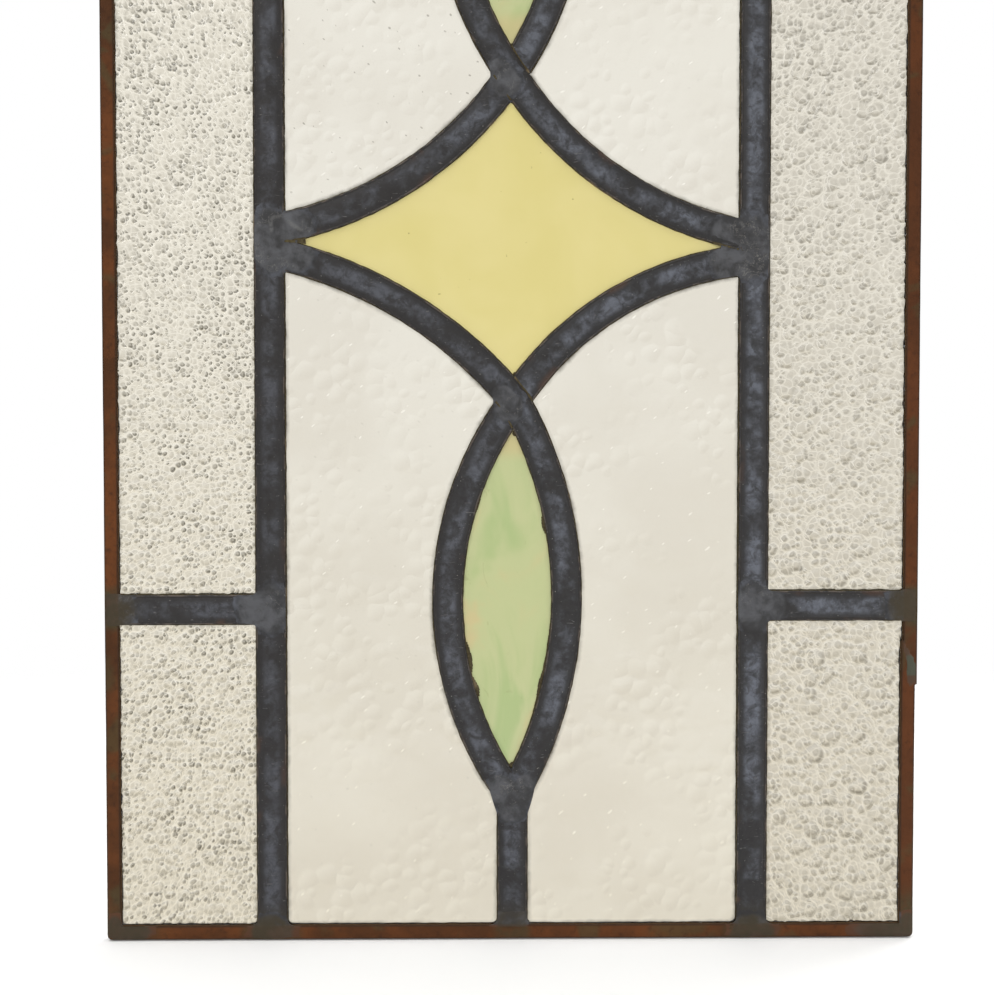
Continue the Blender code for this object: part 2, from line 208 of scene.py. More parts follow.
def scaled(tree, vector, factor):
    wires = {0: vector, "Scale": factor}
    return node(tree, "ShaderNodeVectorMath", wires, operation="SCALE").outputs["Vector"]


def remap(tree, value, low, high, to_low=0.0, to_high=1.0, smooth=True):
    wires = {"Value": value, "From Min": low, "From Max": high, "To Min": to_low, "To Max": to_high}
    kind = "SMOOTHSTEP" if smooth else "LINEAR"
    return node(tree, "ShaderNodeMapRange", wires, interpolation_type=kind).outputs["Result"]


def noise_of(tree, vector, scale, detail=2.0, roughness=0.5, distortion=0.0):
    wires = {"Vector": vector, "Scale": scale, "Detail": detail}
    wires |= {"Roughness": roughness, "Distortion": distortion}
    return node(tree, "ShaderNodeTexNoise", wires)


# %% [markdown]
# Finishes
#
# Every finish is built from the same idea: a base colour, broken up by noise at two or three
# sizes, with a roughness and a fine bump that follow the same noise. Object coordinates are used
# throughout, because every piece sits at the origin with its place in its mesh, so a pattern stays
# the same size on every piece. Colours are written as the 0 to 255 values a picture editor shows
# and turned to the linear values the shader needs.


# %% Helpers for finishes
def linear(red, green, blue):
    def channel(value):
        value /= 255
        return value / 12.92 if value <= 0.04045 else ((value + 0.055) / 1.055) ** 2.4

    return (channel(red), channel(green), channel(blue), 1.0)


def new_finish(name, roughness=0.5, metallic=0.0, **inputs):
    finish = bpy.data.materials.new(name)
    finish.use_nodes = True
    shader = finish.node_tree.nodes["Principled BSDF"]
    shader.inputs["Roughness"].default_value = roughness
    shader.inputs["Metallic"].default_value = metallic
    for key, value in inputs.items():
        shader.inputs[key.replace("_", " ")].default_value = value
    return finish, finish.node_tree, shader


def object_place(tree, stretch=(1.0, 1.0, 1.0)):
    place = node(tree, "ShaderNodeTexCoord").outputs["Object"]
    return node(tree, "ShaderNodeMapping", {"Vector": place, "Scale": stretch}).outputs["Vector"]


def split_place(tree):
    """Object coordinates as separate X, Y and Z."""
    place = node(tree, "ShaderNodeTexCoord").outputs["Object"]
    return node(tree, "ShaderNodeSeparateXYZ", {0: place}).outputs


def attribute(tree, name):
    return node(tree, "ShaderNodeAttribute", attribute_name=name).outputs["Fac"]


def blend(tree, amount, one, other, kind="MIX"):
    wires = {"Factor": amount, "A": one, "B": other}
    made = tree.nodes.new("ShaderNodeMix")
    made.data_type = "RGBA"
    made.blend_type = kind
    sockets = {"Factor": made.inputs[0], "A": made.inputs[6], "B": made.inputs[7]}
    for key, value in wires.items():
        if isinstance(value, bpy.types.NodeSocket):
            tree.links.new(value, sockets[key])
        else:
            sockets[key].default_value = value
    return made.outputs[2]


def wire(tree, shader, **sockets):
    for key, value in sockets.items():
        tree.links.new(value, shader.inputs[key.replace("_", " ")])


def bump(tree, height, strength, distance):
    wires = {"Strength": strength, "Distance": distance, "Height": height}
    return node(tree, "ShaderNodeBump", wires).outputs["Normal"]


# %% [markdown]
# Lead
#
# Lead turns dull grey within weeks, and after decades it is nearly black at the edges, where the
# glazier's blacking and cement lodge. A bluish sheen along the crown is a painted highlight, and so
# is a thin pale line on the raised lip near each edge. The lead is also painted darker towards the
# panel's left side, as painted shade. The distance across the came is stored on the mesh as an
# attribute by the sweep, so the finish can keep the painted highlight to the crown and darken towards
# both edges. Pale specks and short scratches come from stretched noise. Solder is a lead alloy too, so
# it tarnishes to nearly the same grey: its finish starts from the same nodes, painted highlight and
# all, and fades into the lead's colour where the joint thins out. Its raised ridges get a painted
# highlight of light grey.


# %% Lead and solder finishes
def panel_place(tree):
    """(How far a place is across from the middle line, and how far in from the nearer end)."""
    split = split_place(tree)
    from_middle = apart(tree, split["Z"], MIDDLE * MM)
    return maths(tree, "ABSOLUTE", split["X"]), maths(tree, "SUBTRACT", MIDDLE * MM, from_middle)


def joint_stain(tree):
    """How far flux and damp have stained a place: most at the corners, post feet and bar ends."""
    side, end = panel_place(tree)
    corner = times(tree, remap(tree, side, 0.138, 0.152), remap(tree, end, 0.024, 0.010))
    from_post = apart(tree, side, POST_X * MM)
    foot = times(tree, remap(tree, from_post, 0.015, 0.007), remap(tree, end, 0.018, 0.006))
    rise = (BAR_RISE["left"] + BAR_RISE["right"]) / 2 * MM
    from_bar = apart(tree, end, rise)
    bar = times(tree, remap(tree, from_bar, 0.0105, 0.0065), remap(tree, side, 0.148, 0.156))
    stem = times(tree, remap(tree, side, 0.009, 0.005), remap(tree, end, 0.018, 0.008, 0.0, 0.7))
    stain = maths(tree, "MAXIMUM", maths(tree, "MAXIMUM", corner, foot), maths(tree, "MAXIMUM", bar, stem))
    ragged = noise_of(tree, object_place(tree), 170, 3, 0.6).outputs["Fac"]
    return times(tree, stain, remap(tree, ragged, 0.32, 0.58, 0.45, 1.0))


def tarnish_and_highlight(tree, place, across):
    """(Colour of old lead with a painted bluish highlight along its crown, broad noise, fine noise, streak
    noise). Across is 0 on the crown and 1 at the edge.
    """
    broad = noise_of(tree, place, 55, 4, 0.6).outputs["Fac"]
    fine = noise_of(tree, place, 420, 5, 0.65).outputs["Fac"]
    streak = noise_of(tree, place, 190, 4, 0.7, 0.5).outputs["Fac"]
    # Painted highlight: a bluish sheen along the crown, fading towards both edges and broken up by noise.
    crown_highlight = times(tree, remap(tree, broad, 0.36, 0.60), remap(tree, across, 0.72, 0.30, 0.06, 1.0))
    crown_highlight = times(tree, crown_highlight, remap(tree, streak, 0.36, 0.60, 0.20, 1.0))
    colour = blend(tree, crown_highlight, linear(43, 42, 43), linear(99, 103, 113))
    colour = blend(tree, remap(tree, fine, 0.40, 0.75, 0.0, 0.5), colour, linear(36, 35, 37))
    return colour, broad, fine, streak


def lead_finish():
    finish, tree, shader = new_finish("old_lead", metallic=0.35, Specular_IOR_Level=0.45)
    place = object_place(tree)
    across = maths(tree, "ABSOLUTE", attribute(tree, "across"))
    colour, broad, fine, streak = tarnish_and_highlight(tree, place, across)
    groove = times(tree, remap(tree, across, 0.76, 0.85), remap(tree, across, 0.93, 0.87))
    groove = times(tree, groove, remap(tree, broad, 0.35, 0.60, 0.3, 1.0))
    colour = blend(tree, groove, colour, linear(38, 34, 31))
    # Painted shade: the lead darkens towards the left side of the panel.
    split = split_place(tree)
    colour = blend(tree, remap(tree, split["X"], 0.08, -0.10, 0.0, 0.5), colour, linear(40, 37, 37))
    # Painted highlight: a thin pale line on the raised lip near each edge of the leaf.
    rim = times(tree, remap(tree, across, 0.89, 0.94), remap(tree, streak, 0.46, 0.62))
    colour = blend(tree, times(tree, rim, 0.6), colour, linear(106, 94, 84))
    rust = noise_of(tree, place, 38, 3, 0.55, 0.4).outputs["Fac"]
    rust = times(tree, remap(tree, rust, 0.60, 0.70), remap(tree, across, 0.45, 0.9))
    colour = blend(tree, times(tree, rust, 0.6), colour, linear(76, 54, 42))
    colour = blend(tree, times(tree, joint_stain(tree), 0.7), colour, linear(56, 51, 42))
    scratch_place = object_place(tree, (260, 40, 1400))
    scratch = noise_of(tree, scratch_place, 1.0, 2, 0.5, 1.2).outputs["Fac"]
    colour = blend(tree, remap(tree, scratch, 0.68, 0.76, 0.0, 0.5), colour, linear(118, 116, 116))
    speck = noise_of(tree, place, 1500, 1).outputs["Fac"]
    colour = blend(tree, remap(tree, speck, 0.74, 0.80, 0.0, 0.7), colour, linear(150, 148, 142))
    rough = remap(tree, fine, 0.3, 0.7, 0.40, 0.62, smooth=False)
    height = maths(tree, "ADD", times(tree, broad, 0.6), times(tree, fine, 0.4))
    wire(tree, shader, Base_Color=colour, Roughness=rough, Normal=bump(tree, height, 0.5, 0.0004))
    return finish


def solder_finish():
    finish, tree, shader = new_finish("solder", metallic=0.3, Specular_IOR_Level=0.35)
    place = object_place(tree)
    lead_colour, broad, fine, streak = tarnish_and_highlight(tree, place, 0.5)
    lumps = noise_of(tree, place, 130, 4, 0.6, 0.3).outputs["Fac"]
    colour = blend(tree, remap(tree, lumps, 0.36, 0.66), linear(52, 52, 54), linear(82, 83, 87))
    colour = blend(tree, remap(tree, fine, 0.50, 0.75, 0.0, 0.5), colour, linear(48, 46, 45))
    thread = apart(tree, streak, 0.5)
    thread = times(tree, remap(tree, thread, 0.012, 0.003), remap(tree, broad, 0.50, 0.60))
    colour = blend(tree, times(tree, thread, 0.6), colour, linear(126, 124, 120))
    side, end = panel_place(tree)
    on_channel = maths(tree, "MAXIMUM", remap(tree, side, 0.1585, 0.1600), remap(tree, end, 0.0066, 0.0050))
    from_splice = apart(tree, end, 0.1060)
    at_splice = times(tree, remap(tree, from_splice, 0.0125, 0.0110), remap(tree, side, 0.1500, 0.1520))
    on_channel = maths(tree, "MAXIMUM", on_channel, at_splice)
    colour = blend(tree, times(tree, on_channel, 0.8), colour, linear(76, 52, 32))
    around = blend(tree, on_channel, lead_colour, linear(80, 50, 30))
    faded = maths(tree, "ADD", attribute(tree, "fade"), times(tree, lumps, 0.5))
    colour = blend(tree, times(tree, joint_stain(tree), 0.9), colour, linear(58, 50, 34))
    colour = blend(tree, remap(tree, faded, 0.50, 1.05), colour, around)
    # Painted highlight: light grey along the raised ridges, where the fade attribute goes below zero.
    solder_ridge_highlight = remap(tree, attribute(tree, "fade"), -0.25, -0.95, 0.0, 0.55)
    solder_ridge_highlight = times(tree, solder_ridge_highlight, remap(tree, streak, 0.44, 0.60, 0.15, 1.0))
    colour = blend(tree, solder_ridge_highlight, colour, linear(108, 108, 108))
    from_patch = apart(tree, end, 0.1119)
    patch = times(tree, remap(tree, side, 0.1600, 0.1612), remap(tree, from_patch, 0.0046, 0.0036))
    colour = blend(tree, times(tree, patch, 0.8), colour, linear(66, 72, 60))
    rough = remap(tree, broad, 0.3, 0.7, 0.36, 0.58, smooth=False)
    wire(tree, shader, Base_Color=colour, Roughness=rough, Normal=bump(tree, lumps, 0.6, 0.0005))
    return finish


old_lead = lead_finish()
solder = solder_finish()
print("Metal finishes:", old_lead.name, solder.name)

# %% [markdown]
# The edge channel and the cement
#
# The edge channel is thin sheet metal that has gone a reddish brown, with olive patches where flux
# and damp have worked on it. Its finish is also made darker along both rims of its face. The cement
# is a dark putty that was brushed under the leaves and has dried crumbly, with paler dust on it in
# places.


# %% Channel and cement finishes
def channel_finish():
    finish, tree, shader = new_finish("browned_channel", metallic=0.15, Specular_IOR_Level=0.18)
    place = object_place(tree)
    broad = noise_of(tree, place, 26, 5, 0.62).outputs["Fac"]
    fine = noise_of(tree, place, 380, 5, 0.6).outputs["Fac"]
    across = maths(tree, "ABSOLUTE", attribute(tree, "across"))
    colour = blend(tree, remap(tree, broad, 0.36, 0.64), linear(71, 41, 18), linear(98, 55, 24))
    split = split_place(tree)
    redder = remap(tree, split["X"], 0.12, 0.16, 0.0, 0.5)
    colour = blend(tree, redder, colour, linear(78, 42, 20))
    olive = noise_of(tree, place, 48, 3, 0.5, 0.6).outputs["Fac"]
    colour = blend(tree, remap(tree, olive, 0.56, 0.66, 0.0, 0.6), colour, linear(70, 62, 38))
    colour = blend(tree, remap(tree, fine, 0.5, 0.75, 0.0, 0.6), colour, linear(56, 34, 22))
    colour = blend(tree, joint_stain(tree), colour, linear(66, 58, 38))
    colour = blend(tree, remap(tree, across, 0.66, 0.94, 0.0, 0.8), colour, linear(56, 38, 25))
    rough = remap(tree, fine, 0.3, 0.7, 0.45, 0.7, smooth=False)
    wire(tree, shader, Base_Color=colour, Roughness=rough, Normal=bump(tree, fine, 0.5, 0.0003))
    return finish


def cement_finish():
    finish, tree, shader = new_finish("dry_cement", roughness=0.9, Specular_IOR_Level=0.2)
    place = object_place(tree)
    broad = noise_of(tree, place, 70, 3, 0.6).outputs["Fac"]
    fine = noise_of(tree, place, 900, 4, 0.7).outputs["Fac"]
    colour = blend(tree, remap(tree, fine, 0.35, 0.7), linear(62, 54, 38), linear(86, 78, 56))
    colour = blend(tree, remap(tree, broad, 0.60, 0.72, 0.0, 0.5), colour, linear(140, 122, 98))
    side, end = panel_place(tree)
    by_channel = maths(tree, "MAXIMUM", remap(tree, side, 0.1575, 0.1585), remap(tree, end, 0.0075, 0.0065))
    colour = blend(tree, times(tree, by_channel, 0.85), colour, linear(84, 62, 40))
    wire(tree, shader, Base_Color=colour, Normal=bump(tree, fine, 0.8, 0.0004))
    return finish


browned_channel = channel_finish()
dry_cement = cement_finish()
print("Other dull finishes:", browned_channel.name, dry_cement.name)

# %% [markdown]
# The pattern of rolled glass
#
# Rolled glass takes its relief from a patterned roller. These panes are covered in round hollows,
# small pits among wider dishes, with narrow ridges left between them. A Voronoi pattern scatters
# one point to a cell, and the distance to it, over a radius that differs from cell to cell, gives a
# round hollow. The same few nodes are used twice. In the geometry they press the hollows in, and in
# the finish they paint grey shade into them, darker on their lower right sides, and a painted
# highlight along the ridges between them. The left panes are cut from one sheet, with dark little
# pits, and the right panes from another, with wider, paler dishes. The four middle panes are nearly
# smooth, with a faint hammered ripple.


# %% Patterns of the three kinds of clear glass
GLASS_KINDS = {
    "left": {
        "Spacing": 0.6, "Pit Size": 2.4, "Pit Depth": 0.50, "Dish Size": 4.8, "Dish Depth": 0.50,
        "Stray": 0.60, "Ripple Size": 9.0, "Ripple Depth": 0.10, "Seed": 0.31,
    },
    "right": {
        "Spacing": 0.6, "Pit Size": 3.1, "Pit Depth": 0.46, "Dish Size": 6.4, "Dish Depth": 0.55,
        "Stray": 0.75, "Ripple Size": 6.0, "Ripple Depth": 0.20, "Seed": 0.97,
    },
    "field": {
        "Spacing": 1.2, "Pit Size": 7.5, "Pit Depth": 0.05, "Dish Size": 15.0, "Dish Depth": 0.12,
        "Stray": 0.7, "Ripple Size": 14.0, "Ripple Depth": 0.10, "Seed": 1.53,
    },
}
PIT_RADII = (0.24, 0.54)
DISH_RADII = (0.36, 0.64)
LOWER_RIGHT = (0.6, -0.8, 0.0)


def in_plane(tree, place, seed):
    """The place across and up the panel, moved to the seed's own part of the pattern."""
    split = node(tree, "ShaderNodeSeparateXYZ", {0: place}).outputs
    wires = {"X": maths(tree, "ADD", split["X"], seed), "Y": split["Z"], "Z": seed}
    return node(tree, "ShaderNodeCombineXYZ", wires).outputs[0]


def hollows(tree, flat, size, stray, radii):
    """One round hollow to a cell: (share of the way from its middle to its outline, its chance, how
    far the place is to the lower right in it, how far it is from the next cell)."""
    per_cell = maths(tree, "DIVIDE", 1.0, size)
    wander = noise_of(tree, flat, times(tree, per_cell, 0.8), 2).outputs["Color"]
    wander = vector_maths(tree, "SUBTRACT", wander, (0.5, 0.5, 0.5))
    moved = vector_maths(tree, "ADD", flat, scaled(tree, wander, times(tree, stray, size)))
    wires = {"Vector": moved, "Scale": per_cell, "Randomness": 1.0}
    cells = node(tree, "ShaderNodeTexVoronoi", wires, voronoi_dimensions="2D").outputs
    chances = node(tree, "ShaderNodeSeparateXYZ", {0: cells["Color"]}).outputs
    radius = remap(tree, chances["X"], 0.0, 1.0, *radii)
    share = maths(tree, "DIVIDE", cells["Distance"], radius)
    veins = node(tree, "ShaderNodeTexVoronoi", wires, voronoi_dimensions="2D", feature="DISTANCE_TO_EDGE")
    from_heart = vector_maths(tree, "SUBTRACT", moved, cells["Position"])
    lean = vector_maths(tree, "DOT_PRODUCT", from_heart, LOWER_RIGHT)
    lean = maths(tree, "DIVIDE", times(tree, lean, per_cell), radius)
    return share, chances["Y"], lean, veins.outputs["Distance"]


# %% [markdown]
# Glass
#
# Clear glass is the shader's own transmission at full weight, so light really bends at its faces,
# and the pattern of the rolled panes comes from their modelled relief, helped by painted shade in
# its hollows and painted highlights on its ridges. The hammered panes have painted light and shade
# in their faint hollows and small painted glints. Old clear glass is a little creamy. Opal glass
# scatters light instead: it is a glossy, softly streaked solid colour. Specks of dirt and small
# seeds are noise cut off near its top.


# %% Glass finishes
CLEAR = {"roughness": 0.0, "IOR": 1.5, "Transmission_Weight": 1.0}


def short_marks(tree, flat, size, turn, stretch, commonest):
    """Short slanting dashes, one to a cell at most. The commonest is the share of cells with none."""
    wires = {"Vector": flat, "Rotation": (0.0, 0.0, math.radians(turn)), "Scale": (stretch, 1.0, 1.0)}
    turned = node(tree, "ShaderNodeMapping", wires, vector_type="TEXTURE").outputs["Vector"]
    share, chance, _, _ = hollows(tree, turned, size * MM, 0.6, (0.025, 0.07))
    return times(tree, remap(tree, share, 1.0, 0.6), remap(tree, chance, commonest, commonest + 0.05))


def film(tree, colour, strength):
    """A brownish film on the front of the glass close beside the metal, with a ragged limit."""
    place = object_place(tree)
    front = remap(tree, node(tree, "ShaderNodeSeparateXYZ", {0: place}).outputs["Y"], 0.0, -0.001)
    ragged = noise_of(tree, place, 260, 3, 0.6).outputs["Fac"]
    patchy = noise_of(tree, place, 34, 2).outputs["Fac"]
    away = maths(tree, "ADD", attribute(tree, "beside"), times(tree, ragged, -1.6))
    thickest = remap(tree, patchy, 0.36, 0.60, 0.35 * strength, 0.97 * strength)
    amount = times(tree, remap(tree, away, 1.4, -0.8), thickest)
    return blend(tree, times(tree, amount, front), colour, linear(42, 38, 27))


def hammered_finish():
    """Nearly smooth glass: painted light and shade in the hammered hollows, painted glints, and a few dark
    seeds.
    """
    finish, tree, shader = new_finish("hammered_clear_glass", **CLEAR)
    values = GLASS_KINDS["field"]
    place = node(tree, "ShaderNodeTexCoord").outputs["Object"]
    flat = in_plane(tree, place, values["Seed"])
    cloud = noise_of(tree, flat, 18, 3).outputs["Fac"]
    colour = blend(tree, remap(tree, cloud, 0.35, 0.65), linear(236, 234, 229), linear(230, 227, 221))
    hollow, _, lean, _ = hollows(tree, flat, values["Pit Size"] * MM, values["Stray"], PIT_RADII)
    in_patches = remap(tree, noise_of(tree, flat, 26, 2).outputs["Fac"], 0.40, 0.60)
    shown = times(tree, remap(tree, hollow, 1.4, 0.9), in_patches)
    # Painted light and shade: in each hollow the upper left is lighter and the lower right darker.
    hollow_light_and_shade = blend(tree, remap(tree, lean, -0.9, 0.9), linear(246, 245, 241), linear(219, 215, 208))
    colour = blend(tree, times(tree, shown, 0.4), colour, hollow_light_and_shade)
    # Painted glints: short bright dashes.
    painted_glints = short_marks(tree, flat, 5.5, 38, 3.0, 0.50)
    colour = blend(tree, times(tree, painted_glints, 0.8), colour, linear(255, 254, 250))
    split = node(tree, "ShaderNodeSeparateXYZ", {0: place}).outputs
    to_left = remap(tree, split["X"], 0.02, -0.02, 0.12, 1.0)
    upper_left = times(tree, to_left, remap(tree, split["Z"], 0.28, 0.34, 0.15, 1.0))
    seeds = times(tree, short_marks(tree, flat, 5.5, -30, 1.8, 0.50), upper_left)
    colour = blend(tree, times(tree, seeds, 0.6), colour, linear(116, 112, 102))
    wire(tree, shader, Base_Color=film(tree, colour, 1.0))
    return finish


def rolled_finish(name, kind, tint, hollow_shade, pit_shade, dish_shade, glass_ridge_highlight):
    """Rolled glass: painted shade in the pits and on the walls of the dishes, darker on their lower right
    sides, and painted highlights on the ridges round them.
    """
    finish, tree, shader = new_finish(name, **CLEAR)
    values = GLASS_KINDS[kind]
    flat = in_plane(tree, node(tree, "ShaderNodeTexCoord").outputs["Object"], values["Seed"])
    pit_size, dish_size, stray = values["Pit Size"] * MM, values["Dish Size"] * MM, values["Stray"]
    pit, pit_chance, pit_lean, veins = hollows(tree, flat, pit_size, stray, PIT_RADII)
    dish, dish_chance, dish_lean, _ = hollows(tree, flat, dish_size, stray, DISH_RADII)
    patchy = remap(tree, noise_of(tree, flat, 70, 3, 0.6).outputs["Fac"], 0.34, 0.60, 0.45, 1.0)
    pit_there = remap(tree, pit_chance, 0.02, 0.75, 0.10, 1.0)
    # Painted shade in the pits, darker on their lower right sides.
    pit_dark = times(tree, remap(tree, pit, 1.02, 0.72), remap(tree, pit_lean, -0.8, 0.6, 0.55, 1.0))
    pit_dark = times(tree, pit_dark, remap(tree, pit, 0.15, 0.65, 0.55, 1.0))
    pit_dark = times(tree, times(tree, pit_dark, pit_there), pit_shade)
    # Painted shade on the walls of the dishes, darker on their lower right sides.
    dish_there = remap(tree, dish_chance, 0.05, 0.80, 0.10, 1.0)
    dish_dark = times(tree, remap(tree, dish, 1.04, 0.90), remap(tree, dish, 0.40, 0.85, 0.12, 1.0))
    dish_dark = times(tree, dish_dark, remap(tree, dish_lean, -0.6, 0.7, 0.30, 1.0))
    dish_dark = times(tree, times(tree, dish_dark, dish_there), dish_shade)
    amount = times(tree, maths(tree, "MAXIMUM", pit_dark, dish_dark), patchy)
    colour = blend(tree, amount, linear(*tint), linear(*hollow_shade))
    # Painted highlight on the ridges round the pits and dishes and along the cell outlines.
    pit_ridge = times(tree, remap(tree, pit, 1.0, 1.12), remap(tree, pit, 1.5, 1.2))
    dish_ridge = times(tree, remap(tree, dish, 1.0, 1.05), remap(tree, dish, 1.22, 1.09))
    ridge = maths(tree, "MAXIMUM", times(tree, pit_ridge, pit_there), dish_ridge)
    ridge = maths(tree, "MAXIMUM", ridge, remap(tree, veins, 0.10, 0.02, 0.0, 0.9))
    colour = blend(tree, times(tree, ridge, glass_ridge_highlight), colour, linear(254, 251, 244))
    wire(tree, shader, Base_Color=film(tree, colour, 0.6))
    return finish


def yellow_finish():
    finish, tree, shader = new_finish("yellow_opal", roughness=0.16, IOR=1.5, Subsurface_Weight=0.0)
    place = object_place(tree)
    cloud = noise_of(tree, place, 24, 3, 0.5, 0.4).outputs["Fac"]
    colour = blend(tree, remap(tree, cloud, 0.3, 0.7), linear(212, 200, 130), linear(217, 205, 140))
    speck = noise_of(tree, place, 340, 1, 0.4).outputs["Fac"]
    colour = blend(tree, remap(tree, speck, 0.80, 0.83), colour, linear(170, 158, 96))
    ripple = noise_of(tree, place, 60, 2).outputs["Fac"]
    wire(tree, shader, Base_Color=colour, Normal=bump(tree, ripple, 0.12, 0.0006))
    return finish


def green_finish():
    finish, tree, shader = new_finish("green_opal", roughness=0.16, IOR=1.5)
    streaks = noise_of(tree, object_place(tree, (42, 42, 15)), 1.0, 3, 0.5, 1.1).outputs["Fac"]
    colour = blend(tree, remap(tree, streaks, 0.34, 0.52), linear(166, 182, 126), linear(184, 190, 140))
    colour = blend(tree, remap(tree, streaks, 0.52, 0.66), colour, linear(196, 184, 136))
    curl = noise_of(tree, object_place(tree, (120, 120, 60)), 1.0, 4, 0.6, 2.0).outputs["Fac"]
    colour = blend(tree, remap(tree, curl, 0.62, 0.72, 0.0, 0.4), colour, linear(146, 150, 104))
    split = split_place(tree)
    out = apart(tree, split["Z"], MIDDLE * MM)
    inner_tip = remap(tree, out, 0.092, 0.084, 0.0, 0.7)
    colour = blend(tree, inner_tip, colour, linear(196, 180, 130))
    outer_tip = remap(tree, out, 0.2120, 0.2135, 0.0, 0.6)
    colour = blend(tree, outer_tip, colour, linear(158, 156, 98))
    wire(tree, shader, Base_Color=colour, Normal=bump(tree, curl, 0.12, 0.0005))
    return finish


# After the tint come the painted shade colour, its strength in the pits and in the dishes, and the strength
# of the painted ridge highlight.
side_glass = {
    "left": rolled_finish("pitted_rolled_glass", "left", (225, 221, 212), (84, 80, 68), 1.0, 0.62, 0.75),
    "right": rolled_finish("dished_rolled_glass", "right", (215, 211, 203), (88, 83, 72), 0.52, 0.62, 0.55),
}
field_glass = hammered_finish()
yellow_opal = yellow_finish()
green_opal = green_finish()
glass_finishes = (*side_glass.values(), field_glass, yellow_opal, green_opal)
print("Glass finishes:", [item.name for item in glass_finishes])

# %% [markdown]
# From a node tree to a plain mesh
#
# Each Geometry Nodes tree is used on a throw-away carrier object. The finished shape is taken from
# the evaluated object with new_from_object, so what stays is an ordinary mesh with no modifier.
# Every finished piece is then put through one function, which keeps it inside the CAD box, hangs it
# on the frame, and hides the CAD pieces that it stands for.


# %% Helpers for geometry trees
def new_tree(name, inputs):
    tree = bpy.data.node_groups.new(name, "GeometryNodeTree")
    tree.interface.new_socket("Geometry", in_out="INPUT", socket_type="NodeSocketGeometry")
    for label, kind in inputs.items():
        tree.interface.new_socket(label, in_out="INPUT", socket_type=f"NodeSocket{kind}")
    tree.interface.new_socket("Geometry", in_out="OUTPUT", socket_type="NodeSocketGeometry")
    return tree, node(tree, "NodeGroupInput").outputs


def close_tree(tree, geometry, finish):
    smooth = node(tree, "GeometryNodeSetShadeSmooth", {"Geometry": geometry}).outputs[0]
    real = node(tree, "GeometryNodeRealizeInstances", {"Geometry": smooth}).outputs[0]
    painted = node(tree, "GeometryNodeSetMaterial", {"Geometry": real, "Material": finish}).outputs[0]
    node(tree, "NodeGroupOutput", {0: painted})


def link_object(name, mesh):
    made = bpy.data.objects.new(name, mesh)
    bpy.context.scene.collection.objects.link(made)
    return made


def drop_object(item):
    mesh = item.data
    bpy.data.objects.remove(item)
    bpy.data.meshes.remove(mesh)


def grown(name, mesh, tree, **values):
    """The mesh that the tree makes from the given one, as a new object with no modifier."""
    carrier = link_object("carrier", mesh)
    modifier = carrier.modifiers.new("Shape", "NODES")
    modifier.node_group = tree
    for item in tree.interface.items_tree:
        if item.in_out == "INPUT" and item.name in values:
            modifier[item.identifier] = values[item.name]
    graph = bpy.context.evaluated_depsgraph_get()
    shape = bpy.data.meshes.new_from_object(carrier.evaluated_get(graph), depsgraph=graph)
    drop_object(carrier)
    shape.name = name
    return link_object(name, shape)


# %% Helper that finishes a piece
SHARP_ANGLE = math.radians(38)
pieces_made = {}


def settle(piece, slot_name, *nodes):
    mesh = piece.data
    places = np.zeros(len(mesh.vertices) * 3)
    mesh.vertices.foreach_get("co", places)
    places = np.clip(places.reshape(-1, 3), cad_box[0], cad_box[1])
    mesh.vertices.foreach_set("co", places.ravel())
    mesh.set_sharp_from_angle(angle=SHARP_ANGLE)
    mesh.update()
    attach(piece, "root")
    if nodes:
        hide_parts(*nodes)
    pieces_made[piece.name] = sum(len(face.vertices) - 2 for face in mesh.polygons)
    return piece


# %% [markdown]
# Sweeping lead along its line
#
# A came is milled as a straight bar with an H section, then bent to its line. In Blender that is
# Curve to Mesh: the line is the path, and the section is the profile. Lead is soft, so the mill's
# clean shape doesn't last: the tree then pushes the bar about with slow noise, for its wavy edges,
# and pushes its faces in and out with quicker noise, for dents.


